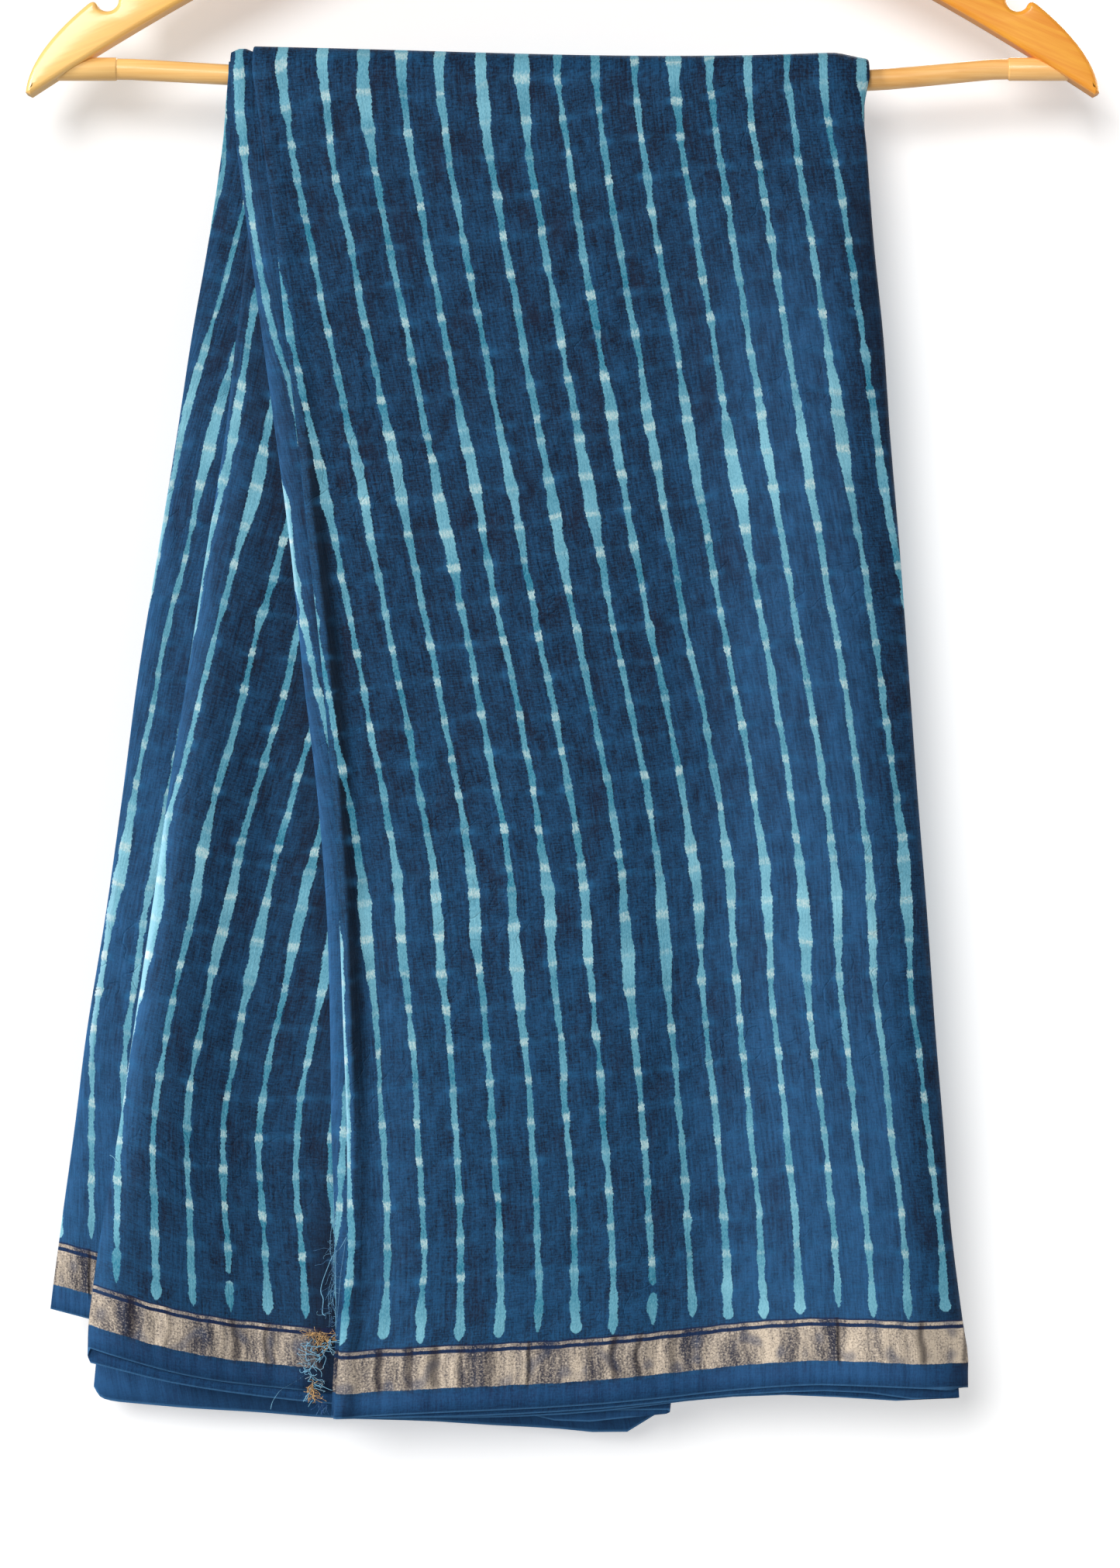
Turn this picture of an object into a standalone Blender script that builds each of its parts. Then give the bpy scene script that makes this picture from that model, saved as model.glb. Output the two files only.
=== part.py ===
"""A chanderi sari, folded along its length and hung over the bar of a wooden clothes hanger.

Sizes are in millimetres until MM turns them into metres. +X runs along the bar, -Y is the front, and the
heights in the tables are drops below the bar's middle. The origin is the seat inside the hook.
"""

import math
from collections import namedtuple

import bmesh
import bpy
from mathutils import Matrix, Vector

MM = 0.001

# The hanger. Heights are above the bar's middle.
BOARD_THICK = 14.0
BOARD_ROUNDING = 1.6
BOARD_TOP = 132.0
BOARD_UNDER = 92.0
UNDER_FALL = 61.0
UNDER_FALL_AT = 156.5
UNDER_POWER = 1.42
TOP_FALL = 101.3
SHOULDER_AT = 199.0
TOP_POWER = 1.67
PEAK_ROUND = 26.0
SHOULDER_PULL = (223.5, 9.9)
TIP = (225.0, -7.8)
TIP_UNDER = (223.0, -8.8)
NOTCH_AT = (190.8, 32.6)
NOTCH_RADIUS = 4.8
NOTCH_MOUTH = 8.8
SEAT_HEIGHT = 214.0

# The bar is bowed by the cloth's weight, most to the right of its middle, and thicker in its two collars.
BAR_RADIUS = 4.4
COLLAR_RADIUS = 4.75
COLLAR_INNER_END = 180.0
SOCKET_INNER_END = 170.0
BAR_END = 212.0
BAR_END_HEIGHT = 2.4
BAR_SAG = 4.4
BAR_SAG_SKEW = 0.55
FIT = 0.3

HOOK_WIRE = 3.6
HOOK_RADIUS = 20.0
HOOK_SOCKET_DEPTH = 26.0
HOOK_SHANK = 14.0
HOOK_NECK_PULL = 13.0
LOOP_START = -38.0
LOOP_END = 212.0
LOOP_STEPS = 28

# The cloth. The stack starts a little clear of the bar, and its layers open out towards the hem.
SHEET = 1.0
STACK_CLEAR = 0.6
GAP_AT_BAR = 0.3
GAP_AT_HEM = 1.2
LONG_DROP = 570.0
INNER_FOLD_INSET = 4.0
FRONT_LEAN = 5.0
BACK_LEAN = 7.0
BAR_FOLLOW = 70.0

# Where the folds and ends of the layers lie across the bar, by the drop below it.
Level = namedtuple("Level", "below c_fold raw_end b_fold a_end outer_fold back_fold")
FRONT = [
    Level(0, -130.0, -139.0, -131.0, -140.0, 127.5, 124.0),
    Level(30, -125.5, -136.5, -131.5, -142.5, 128.0, 122.0),
    Level(70, -120.0, -131.0, -132.5, -148.5, 130.0, 119.5),
    Level(110, -115.0, -125.5, -137.0, -155.5, 134.0, 117.0),
    Level(150, -110.5, -120.0, -141.5, -161.5, 136.5, 113.5),
    Level(200, -106.0, -113.5, -149.5, -169.5, 140.5, 108.0),
    Level(250, -100.5, -108.5, -157.0, -177.5, 144.0, 101.0),
    Level(300, -96.5, -102.5, -165.0, -184.0, 147.5, 92.0),
    Level(350, -93.5, -98.5, -172.0, -191.0, 151.5, 83.0),
    Level(400, -91.5, -97.0, -179.5, -199.0, 155.0, 74.0),
    Level(440, -90.5, -96.5, -185.5, -204.0, 158.5, 66.0),
    Level(480, -90.5, -95.5, -192.5, -208.0, 162.0, 58.0),
    Level(520, -93.0, -96.0, -198.0, -213.0, 166.0, 50.0),
    Level(570, -96.5, -98.0, -199.5, -213.5, 168.0, 44.0),
]
BACK = [
    Level(0, -130.0, -139.0, -131.0, -140.0, 127.5, 124.0),
    Level(60, -127.0, -137.0, -132.5, -141.5, 128.0, 120.5),
    Level(150, -122.0, -134.0, -138.0, -149.5, 131.0, 110.0),
    Level(250, -118.0, -130.0, -147.0, -162.0, 135.5, 94.0),
    Level(350, -115.0, -127.0, -157.5, -175.0, 141.0, 75.0),
    Level(450, -112.5, -124.0, -167.0, -187.0, 146.5, 58.0),
    Level(520, -111.0, -122.0, -172.0, -195.0, 150.0, 48.0),
    Level(570, -110.5, -121.0, -175.0, -198.0, 152.0, 44.0),
]

# The layers in the order in which the cloth runs. Depth counts outwards from the layer against the bar.
Layer = namedtuple("Layer", "name left right depth forward steps")
LAYERS = [
    Layer("under", "raw_end", "inner_fold", 3, True, 13),
    Layer("lining_turn", "c_fold", "inner_fold", 4, False, 13),
    Layer("face", "c_fold", "outer_fold", 5, True, 18),
    Layer("fan", "b_fold", "outer_fold", 2, False, 18),
    Layer("fan_back", "b_fold", "back_fold", 1, True, 13),
    Layer("last", "a_end", "back_fold", 0, False, 15),
]

# The hem's drop in front and behind, by the share of the layer's width from its left edge.
Hem = namedtuple("Hem", "share front back")
HEMS = {
    "face": [Hem(0, 560.5, 543), Hem(0.16, 558.8, 541), Hem(0.35, 556, 541), Hem(0.53, 552.5, 543),
             Hem(0.76, 548.6, 541), Hem(0.85, 550.1, 540), Hem(0.94, 551.7, 539), Hem(1, 549, 538)],
    "lining_turn": [Hem(0, 561, 545), Hem(0.35, 558, 543), Hem(0.7, 552.5, 544), Hem(0.83, 551.4, 543.5),
                    Hem(0.89, 553.3, 543), Hem(0.97, 554.5, 542), Hem(1, 553, 542)],
    "under": [Hem(0, 560, 547), Hem(0.35, 559.5, 545), Hem(0.7, 554, 546), Hem(0.9, 555.5, 545),
              Hem(1, 553.5, 544)],
    "fan": [Hem(0, 530.5, 538), Hem(0.12, 543, 540), Hem(0.24, 548.3, 544), Hem(0.4, 552, 547),
            Hem(0.7, 551, 544), Hem(1, 550.5, 541)],
    "fan_back": [Hem(0, 537.6, 541), Hem(0.16, 546.7, 545), Hem(0.36, 553.8, 549), Hem(0.65, 557, 556),
                 Hem(1, 557.5, 557)],
    "last": [Hem(0, 515.3, 549), Hem(0.06, 519.5, 551.5), Hem(0.1, 522, 554.5), Hem(0.27, 534, 556.7),
             Hem(0.42, 543, 560), Hem(0.6, 552, 562.5), Hem(0.78, 558, 567.7), Hem(0.92, 561, 570.3),
             Hem(1, 560, 560)],
}

# Soft flutes that every layer follows: how far they reach at the hem, their length across and their drift.
Flute = namedtuple("Flute", "reach length start drift")
FRONT_FLUTES = [
    Flute(1.5, 158.0, 0.6, 0.0042),
    Flute(0.9, 91.0, 2.1, -0.0035),
    Flute(0.5, 61.0, 4.0, 0.002),
]
BACK_FLUTES = [
    Flute(1.9, 142.0, 1.4, -0.0030),
    Flute(1.1, 87.0, 0.3, 0.0041),
    Flute(0.5, 64.0, 2.7, -0.002),
]

# Rows of the sheet: shares of the drop in front, degrees round the bar, shares of the drop behind.
FRONT_ROWS = [1.0, 0.94, 0.86, 0.77, 0.67, 0.56, 0.45, 0.34, 0.23, 0.13, 0.06, 0.02]
BAR_ROWS = [0, 30, 60, 90, 120, 150, 180]
BACK_ROWS = [0.03, 0.09, 0.19, 0.32, 0.46, 0.61, 0.76, 0.89, 1.0]

# The loose threads at the foot of the cut end.
FRAY_TOP = 492.0
FRAY_FOOT = 557.0
FRAY_STRANDS = 26
FRAY_STRIP = 1.2
FRAY_THREAD = 0.5

# Colours, from the photograph.
INDIGO = (0.014, 0.052, 0.135)
HONEY_WOOD = (0.83, 0.43, 0.10)
PALE_WOOD = (0.80, 0.50, 0.20)
STEEL = (0.62, 0.62, 0.64)
TURQUOISE = (0.10, 0.33, 0.45)


def clear_scene():
    for thing in list(bpy.data.objects):
        bpy.data.objects.remove(thing, do_unlink=True)


def new_collection(name, hidden=False):
    collection = bpy.data.collections.new(name)
    collection.hide_render = hidden
    bpy.context.scene.collection.children.link(collection)
    return collection


def material(name, colour, roughness, metallic=0.0):
    made = bpy.data.materials.new(name)
    made.use_nodes = True
    shader = made.node_tree.nodes["Principled BSDF"]
    shader.inputs["Base Color"].default_value = (*colour, 1.0)
    shader.inputs["Roughness"].default_value = roughness
    shader.inputs["Metallic"].default_value = metallic
    return made


def place_object(name, data, collection, skin=None):
    """The object, hung so that the bar's middle lies SEAT_HEIGHT below the origin."""
    obj = bpy.data.objects.new(name, data)
    obj.location.z = -SEAT_HEIGHT * MM
    if skin:
        data.materials.append(skin)
    collection.objects.link(obj)
    return obj


def eased(rows, at, start, column):
    """A column's value at a place between the rows, on a smooth curve through them."""
    places = [getattr(row, start) for row in rows]
    values = [getattr(row, column) for row in rows]
    at = min(max(at, places[0]), places[-1])
    last = len(rows) - 1
    i = next(k for k in range(last) if at <= places[k + 1])
    width = places[i + 1] - places[i]

    def slope(k):
        low, high = max(k - 1, 0), min(k + 1, last)
        return (values[high] - values[low]) / (places[high] - places[low])

    t = (at - places[i]) / width
    rise = values[i + 1] - values[i]
    lead, trail = slope(i) * width - rise, rise - slope(i + 1) * width
    return values[i] + rise * t + t * (1 - t) * (lead * (1 - t) + trail * t)


def bar_height(across):
    """The bowed bar's middle above its level."""
    if abs(across) >= COLLAR_INNER_END:
        return BAR_END_HEIGHT
    turn = math.pi * across / (2 * COLLAR_INNER_END)
    return BAR_END_HEIGHT - BAR_SAG * math.cos(turn) * (1 + BAR_SAG_SKEW * math.sin(turn))


def edge(side, name, below):
    if name == "inner_fold":
        return eased(side, below, "below", "outer_fold") - INNER_FOLD_INSET
    return eased(side, below, "below", name)


def grown(below):
    """How far the cloth has loosened: 0 at the bar and 1 at the longest hem."""
    share = min(max(below / LONG_DROP, 0.0), 1.0)
    return share * share * (3 - 2 * share)


def pitch(below):
    return SHEET + GAP_AT_BAR + (GAP_AT_HEM - GAP_AT_BAR) * grown(below)


def flutes(rows, across, below):
    return grown(below) * sum(
        f.reach * math.sin(2 * math.pi * across / f.length + f.start + f.drift * below) for f in rows
    )


def on_cloth(row, across, below, depth):
    """The point of the stack at a place across the bar, a drop below it and a depth, counted in layers."""
    kind, value = row
    out = BAR_RADIUS + STACK_CLEAR + SHEET / 2 + depth * pitch(below)
    middle = bar_height(across)
    if kind == "bar":
        angle = math.radians(value)
        return Vector((across, -out * math.cos(angle), middle + out * math.sin(angle)))
    follow = 1 - grown(min(below / BAR_FOLLOW, 1.0) * LONG_DROP)
    height = middle * follow - below
    if kind == "front":
        out += FRONT_LEAN * grown(below) + flutes(FRONT_FLUTES, across, below)
        return Vector((across, -out, height))
    out += BACK_LEAN * grown(below) + flutes(BACK_FLUTES, across, below)
    return Vector((across, out, height))


def fold_radius(first, second, below):
    return abs(first.depth - second.depth) * pitch(below) / 2


def layer_drop(row, layer, share):
    kind, value = row
    if kind == "bar":
        return 0.0
    return value * eased(HEMS[layer.name], share, "share", kind)


def layer_edges(row, layer, index, below):
    """The two ends of a layer's flat stretch, drawn in where it turns into the next layer."""
    side = BACK if row[0] == "back" else FRONT
    ends = {"left": edge(side, layer.left, below), "right": edge(side, layer.right, below)}
    for other in LAYERS[max(index - 1, 0):index] + LAYERS[index + 1:index + 2]:
        for end, inward in (("left", 1), ("right", -1)):
            if getattr(other, end) == getattr(layer, end):
                ends[end] += inward * (fold_radius(layer, other, below) + SHEET / 2)
    return ends["left"], ends["right"]


def layer_points(row, index):
    layer = LAYERS[index]
    points = []
    for step in range(layer.steps + 1):
        share = step / layer.steps
        below = layer_drop(row, layer, share)
        left, right = layer_edges(row, layer, index, below)
        points.append(on_cloth(row, left + (right - left) * share, below, layer.depth))
    return points if layer.forward else points[::-1]


def fold_points(row, index):
    """The points between the flat stretches of a layer and the next one, round their shared fold."""
    first, second = LAYERS[index], LAYERS[index + 1]
    at_right = first.forward
    share, outward = (1.0, 1) if at_right else (0.0, -1)
    drops = [layer_drop(row, layer, share) for layer in (first, second)]
    steps = 3 if abs(first.depth - second.depth) == 1 else 5
    points = []
    for step in range(1, steps):
        turn = math.pi * step / steps
        below = drops[0] + (drops[1] - drops[0]) * step / steps
        left, right = layer_edges(row, first, index, below)
        flat_end = right if at_right else left
        across = flat_end + outward * fold_radius(first, second, below) * math.sin(turn)
        middle, half = (first.depth + second.depth) / 2, (first.depth - second.depth) / 2
        points.append(on_cloth(row, across, below, middle + half * math.cos(turn)))
    return points


def make_sari(collection):
    rows = [("front", share) for share in FRONT_ROWS] + [("bar", angle) for angle in BAR_ROWS]
    rows += [("back", share) for share in BACK_ROWS]
    mesh = bmesh.new()
    grid = []
    for row in rows:
        points = []
        for index in range(len(LAYERS)):
            points += layer_points(row, index)
            if index + 1 < len(LAYERS):
                points += fold_points(row, index)
        grid.append([mesh.verts.new(point * MM) for point in points])
    for low, high in zip(grid, grid[1:]):
        for i in range(len(low) - 1):
            mesh.faces.new((low[i], low[i + 1], high[i + 1], high[i]))
    data = bpy.data.meshes.new("sari")
    mesh.to_mesh(data)
    mesh.free()
    sari = place_object("sari", data, collection, material("indigo_chanderi", INDIGO, 0.72))
    sheet = sari.modifiers.new("thickness", "SOLIDIFY")
    sheet.thickness = SHEET * MM
    sheet.offset = 0
    sheet.use_even_offset = True
    return sari


def arch(across, crown, fall, fall_at, power):
    """The height of an edge that falls away from its rounded crown."""
    def reach(x):
        return (x * x + PEAK_ROUND ** 2) ** (power / 2) - PEAK_ROUND ** power

    return crown - fall * reach(across) / reach(fall_at)


def board_outline():
    """The right half of the board's outline, from the middle of its under edge round to its top."""
    under = [
        (x, arch(x, BOARD_UNDER, UNDER_FALL, UNDER_FALL_AT, UNDER_POWER))
        for x in [TIP_UNDER[0] * step / 16 for step in range(1, 16)]
    ]
    start = (SHOULDER_AT, BOARD_TOP - TOP_FALL)
    shoulder = []
    for step in range(8):
        t = step / 8
        shoulder.append(tuple(
            TIP[k] * (1 - t) ** 2 + 2 * SHOULDER_PULL[k] * t * (1 - t) + start[k] * t * t for k in (0, 1)
        ))
    top = [
        (x, arch(x, BOARD_TOP, TOP_FALL, SHOULDER_AT, TOP_POWER))
        for x in [SHOULDER_AT * (1 - step / 14) for step in range(14)]
    ]
    return under + [TIP_UNDER] + shoulder + top


def solid_of_curve(curve_object, collection):
    """The curve's solid as a mesh with welded caps, which a Boolean can cut."""
    graph = bpy.context.evaluated_depsgraph_get()
    data = bpy.data.meshes.new_from_object(curve_object.evaluated_get(graph))
    welded = bmesh.new()
    welded.from_mesh(data)
    bmesh.ops.remove_doubles(welded, verts=welded.verts, dist=0.00001)
    bmesh.ops.recalc_face_normals(welded, faces=welded.faces)
    welded.to_mesh(data)
    welded.free()
    name = curve_object.name
    matrix = curve_object.matrix_world.copy()
    bpy.data.objects.remove(curve_object, do_unlink=True)
    solid = bpy.data.objects.new(name, data)
    solid.matrix_world = matrix
    collection.objects.link(solid)
    return solid


def as_helper(obj):
    """An object that a Boolean uses, drawn as wire and left out of renders."""
    obj.display_type = "WIRE"
    obj.hide_render = True
    return obj


def cutter_from(mesh, name, centre, helpers):
    data = bpy.data.meshes.new(name)
    mesh.to_mesh(data)
    mesh.free()
    cutter = place_object(name, data, helpers)
    cutter.location += Vector(centre) * MM
    return as_helper(cutter)


def cutter_cylinder(name, radius, length, centre, turn, helpers):
    mesh = bmesh.new()
    bmesh.ops.create_cone(mesh, cap_ends=True, segments=24, radius1=radius * MM, radius2=radius * MM,
                          depth=length * MM, matrix=turn)
    return cutter_from(mesh, name, centre, helpers)


def cutter_box(name, size, centre, helpers):
    mesh = bmesh.new()
    bmesh.ops.create_cube(mesh, size=1.0, matrix=Matrix.Diagonal((*[side * MM for side in size], 1.0)))
    return cutter_from(mesh, name, centre, helpers)


def make_board(collection, helpers):
    """The board with its two strap notches, the sockets of the bar and the socket of the hook."""
    right = board_outline()
    outline = [(0.0, BOARD_UNDER), *right, (0.0, BOARD_TOP), *[(-x, z) for x, z in reversed(right)]]
    curve = bpy.data.curves.new("hanger_board", "CURVE")
    curve.dimensions = "2D"
    curve.fill_mode = "BOTH"
    curve.bevel_depth = BOARD_ROUNDING * MM
    curve.bevel_resolution = 2
    curve.offset = -BOARD_ROUNDING * MM
    curve.extrude = (BOARD_THICK / 2 - BOARD_ROUNDING) * MM
    spline = curve.splines.new("POLY")
    spline.points.add(len(outline) - 1)
    for point, (x, z) in zip(spline.points, outline):
        point.co = (x * MM, z * MM, 0.0, 1.0)
    spline.use_cyclic_u = True
    drawn = place_object("hanger_board", curve, collection)
    drawn.rotation_euler.x = math.pi / 2
    bpy.context.view_layer.update()
    board = solid_of_curve(drawn, collection)
    board.data.materials.clear()
    board.data.materials.append(material("honey_wood", HONEY_WOOD, 0.35))

    along_bar = Matrix.Rotation(math.pi / 2, 4, "Y")
    through = Matrix.Rotation(math.pi / 2, 4, "X")
    socket_length = BAR_END + FIT - SOCKET_INNER_END
    deep = 2 * BOARD_THICK
    made = []
    for side, word in ((-1, "left"), (1, "right")):
        centre = side * (SOCKET_INNER_END + socket_length / 2)
        made.append(cutter_cylinder(f"bar_socket_{word}", COLLAR_RADIUS + FIT, socket_length,
                                    (centre, 0, BAR_END_HEIGHT), along_bar, helpers))
        notch = (side * NOTCH_AT[0], 0, NOTCH_AT[1])
        made.append(cutter_cylinder(f"notch_{word}", NOTCH_RADIUS, deep, notch, through, helpers))
        lift = (notch[0], 0, notch[2] + 2 * NOTCH_RADIUS)
        made.append(cutter_box(f"notch_mouth_{word}", (NOTCH_MOUTH, deep, 4 * NOTCH_RADIUS),
                               lift, helpers))
    bore = (0, 0, BOARD_TOP)
    made.append(cutter_cylinder("hook_socket", HOOK_WIRE / 2 + FIT, 2 * (HOOK_SOCKET_DEPTH + FIT), bore,
                                Matrix.Identity(4), helpers))
    for cutter in made:
        cut = board.modifiers.new(cutter.name, "BOOLEAN")
        cut.operation = "DIFFERENCE"
        cut.solver = "EXACT"
        cut.object = cutter
    return board


def make_tube(name, points, radius, collection, skin, radii=None, resolution=4):
    """A round bar along the points, in millimetres, with flat ends."""
    curve = bpy.data.curves.new(name, "CURVE")
    curve.dimensions = "3D"
    curve.bevel_depth = radius * MM
    curve.bevel_resolution = resolution
    curve.use_fill_caps = True
    spline = curve.splines.new("POLY")
    spline.points.add(len(points) - 1)
    for i, point in enumerate(points):
        spline.points[i].co = (*(Vector(point) * MM), 1.0)
        spline.points[i].radius = radii[i] / radius if radii else 1.0
    return place_object(name, curve, collection, skin)


def make_bar(collection):
    """The dowel: bowed between two thicker collars, whose outer ends sit in the board's sockets."""
    step = 2 * COLLAR_INNER_END / 20
    middle = [-COLLAR_INNER_END + step * i for i in range(21)]
    across = [-BAR_END, -COLLAR_INNER_END - 0.4, *middle, COLLAR_INNER_END + 0.4, BAR_END]
    radii = [COLLAR_RADIUS, COLLAR_RADIUS, *[BAR_RADIUS] * len(middle), COLLAR_RADIUS, COLLAR_RADIUS]
    points = [(x, 0, bar_height(x)) for x in across]
    skin = material("pale_wood", PALE_WOOD, 0.45)
    return make_tube("trouser_bar", points, BAR_RADIUS, collection, skin, radii)


def make_hook(collection):
    """The wire hook: a straight shank, a swan neck out to one side, and a loop back over the middle."""
    centre = SEAT_HEIGHT - HOOK_RADIUS + HOOK_WIRE / 2
    foot = BOARD_TOP - HOOK_SOCKET_DEPTH
    knee = Vector((0, 0, BOARD_TOP + HOOK_SHANK))
    points = [(0, 0, foot), (0, 0, BOARD_TOP), tuple(knee)]
    turn = math.radians(LOOP_START)
    start = Vector((HOOK_RADIUS * math.cos(turn), 0, centre + HOOK_RADIUS * math.sin(turn)))
    heading = Vector((-math.sin(turn), 0, math.cos(turn)))
    pulls = [knee, knee + Vector((0, 0, HOOK_NECK_PULL)), start - heading * HOOK_NECK_PULL, start]
    for step in range(1, 8):
        t = step / 8
        weights = [(1 - t) ** 3, 3 * t * (1 - t) ** 2, 3 * t * t * (1 - t), t ** 3]
        points.append(sum((pull * w for pull, w in zip(pulls, weights)), Vector()))
    for step in range(LOOP_STEPS + 1):
        angle = math.radians(LOOP_START + (LOOP_END - LOOP_START) * step / LOOP_STEPS)
        points.append((HOOK_RADIUS * math.cos(angle), 0, centre + HOOK_RADIUS * math.sin(angle)))
    return make_tube("hook", points, HOOK_WIRE / 2, collection, material("steel_wire", STEEL, 0.28, 1.0),
                     resolution=2)


def fray_strand(index):
    """The path of one loose thread, as places across, drops and depths in layers."""
    share = (index + 0.5) / FRAY_STRANDS
    below = FRAY_TOP + (FRAY_FOOT - FRAY_TOP) * share
    length = 5.0 + 4.5 * abs(math.sin(2.3 * index + 0.7)) + 5.0 * share * share
    fall = 0.55 + 0.2 * math.sin(1.3 * index)
    root = edge(FRONT, "raw_end", below) - FIT - FRAY_STRIP / 2
    path = []
    for step in range(6):
        t = step / 5
        path.append((root - length * t, below + fall * length * t * t, 3.0))
    return path


def make_fray(collection, helpers):
    """The cut end's loose threads, with their roots in one narrow strip just clear of the cloth's edge."""
    row = ("front", 1.0)
    strip = [
        on_cloth(row, edge(FRONT, "raw_end", below) - FIT - FRAY_STRIP / 2, below, LAYERS[0].depth)
        for below in [FRAY_TOP + (FRAY_FOOT - FRAY_TOP) * step / 8 for step in range(9)]
    ]
    drawn = make_tube("frayed_threads", strip, FRAY_STRIP / 2, collection, None, resolution=0)
    threads = []
    for index in range(FRAY_STRANDS):
        path = [on_cloth(row, across, below, depth) for across, below, depth in fray_strand(index)]
        threads.append(make_tube(f"thread_{index}", path, FRAY_THREAD / 2, helpers, None, resolution=0))
    bpy.context.view_layer.update()
    backing = solid_of_curve(drawn, collection)
    backing.data.materials.append(material("loose_threads", TURQUOISE, 0.8))
    for thread in threads:
        solid = as_helper(solid_of_curve(thread, helpers))
        join = backing.modifiers.new(solid.name, "BOOLEAN")
        join.operation = "UNION"
        join.solver = "EXACT"
        join.object = solid
    return backing


def main():
    clear_scene()
    parts = new_collection("chanderi_sari_on_hanger")
    helpers = new_collection("cutters", hidden=True)
    make_sari(parts)
    make_board(parts, helpers)
    make_bar(parts)
    make_hook(parts)
    make_fray(parts, helpers)


main()
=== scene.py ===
# %% [markdown]
# # A chanderi sari over the bar of a wooden hanger
#
# The sari is one length of fine silk and cotton, dyed in indigo round rows of small blocks and threads. It
# is folded back and forth along its length, and hung at half its width over the bar. The hanger is a board
# of lacquered wood with a dowel and a wire hook.
#
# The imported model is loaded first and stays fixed. Every piece below is drawn round it, in the same frame:
# metres, Z up, X along the bar, -Y to the front, and the origin at the seat inside the hook.

import math
from collections import namedtuple

import bmesh
import bpy
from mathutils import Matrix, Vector, noise


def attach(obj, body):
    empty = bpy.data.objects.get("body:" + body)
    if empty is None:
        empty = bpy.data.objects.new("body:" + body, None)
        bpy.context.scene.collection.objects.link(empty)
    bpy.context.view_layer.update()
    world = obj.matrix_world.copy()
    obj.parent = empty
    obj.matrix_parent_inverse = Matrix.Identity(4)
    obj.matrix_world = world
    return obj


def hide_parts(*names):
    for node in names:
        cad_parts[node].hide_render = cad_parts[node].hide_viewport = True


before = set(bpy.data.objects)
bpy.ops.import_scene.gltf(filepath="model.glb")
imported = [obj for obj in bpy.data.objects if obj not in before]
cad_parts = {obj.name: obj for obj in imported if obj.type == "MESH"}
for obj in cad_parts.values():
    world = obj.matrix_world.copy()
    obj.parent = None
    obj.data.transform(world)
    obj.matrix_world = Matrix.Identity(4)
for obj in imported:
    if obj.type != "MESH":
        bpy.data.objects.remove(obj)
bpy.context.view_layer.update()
MM = 0.001
SEAT_HEIGHT = 214.0
print("nodes:", sorted(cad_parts))

# %% [markdown]
# ## The camera
#
# A catalogue picture of cloth is taken from far off with a long lens, square to the bar, so that the hems
# stay level and the hanger's arms keep their true shape. The hanger's width says how many millimetres the
# height of the picture takes in at the cloth, and the distance follows from the lens.

# %% Camera
PICTURE_HEIGHT = 654.0
PICTURE_CENTRE = (-1.1, -15.0, -510.0)
SENSOR = 36.0
LENS = 120.0


def add_object(name, data):
    """A new object in the scene, which holds a mesh, a curve, a light or a camera."""
    made = bpy.data.objects.new(name, data)
    bpy.context.scene.collection.objects.link(made)
    return made


def set_camera():
    data = bpy.data.cameras.new("camera")
    data.lens, data.sensor_width = LENS, SENSOR
    camera = add_object("camera", data)
    away = PICTURE_HEIGHT / 2 / (SENSOR / 2 / LENS)
    camera.location = (Vector(PICTURE_CENTRE) - Vector((0, away, 0))) * MM
    camera.rotation_euler = (math.pi / 2, 0, 0)
    bpy.context.scene.camera = camera
    return away


print("camera", round(set_camera()), "mm in front of the cloth")

# %% [markdown]
# ## A small kit for materials
#
# A material is a tree of nodes, and writing one as plain arithmetic keeps it readable. `Signal` stands for
# a number that changes over the surface: adding or multiplying two of them adds a Math node. `Recipe` holds
# the tree, and its `add` makes every other kind of node.

# %% Arithmetic on surfaces
class Signal:
    """A value that changes over a surface. Each operator adds one Math node."""

    def __init__(self, recipe, socket):
        self.recipe, self.socket = recipe, socket

    def math(self, operation, *others):
        return self.recipe.add("ShaderNodeMath", {"operation": operation}, [self, *others])

    def __add__(self, other):
        return self.math("ADD", other)

    def __sub__(self, other):
        return self.math("SUBTRACT", other)

    def __rsub__(self, other):
        return self.recipe.add("ShaderNodeMath", {"operation": "SUBTRACT"}, [other, self])

    def __mul__(self, other):
        return self.math("MULTIPLY", other)

    def __truediv__(self, other):
        return self.math("DIVIDE", other)

    def __abs__(self):
        return self.math("ABSOLUTE")

    def whole(self):
        return self.math("ROUND")

    def at_least(self, other):
        return self.math("MAXIMUM", other)

    __radd__ = __add__
    __rmul__ = __mul__


# %% The node tree of a material
# The way between two patterns of one noise, and what spreads Blender's narrow noise to about -1 to 1
PATTERN_STEP, NOISE_SPREAD = 7.7, 2.6


def ink(red, green, blue):
    """A colour given as on a screen, 0 to 255, in the linear numbers that a shader reads."""
    return (*[(c / 255 / 12.92) if c < 10.3 else ((c / 255 + 0.055) / 1.055) ** 2.4
              for c in (red, green, blue)], 1.0)


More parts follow.
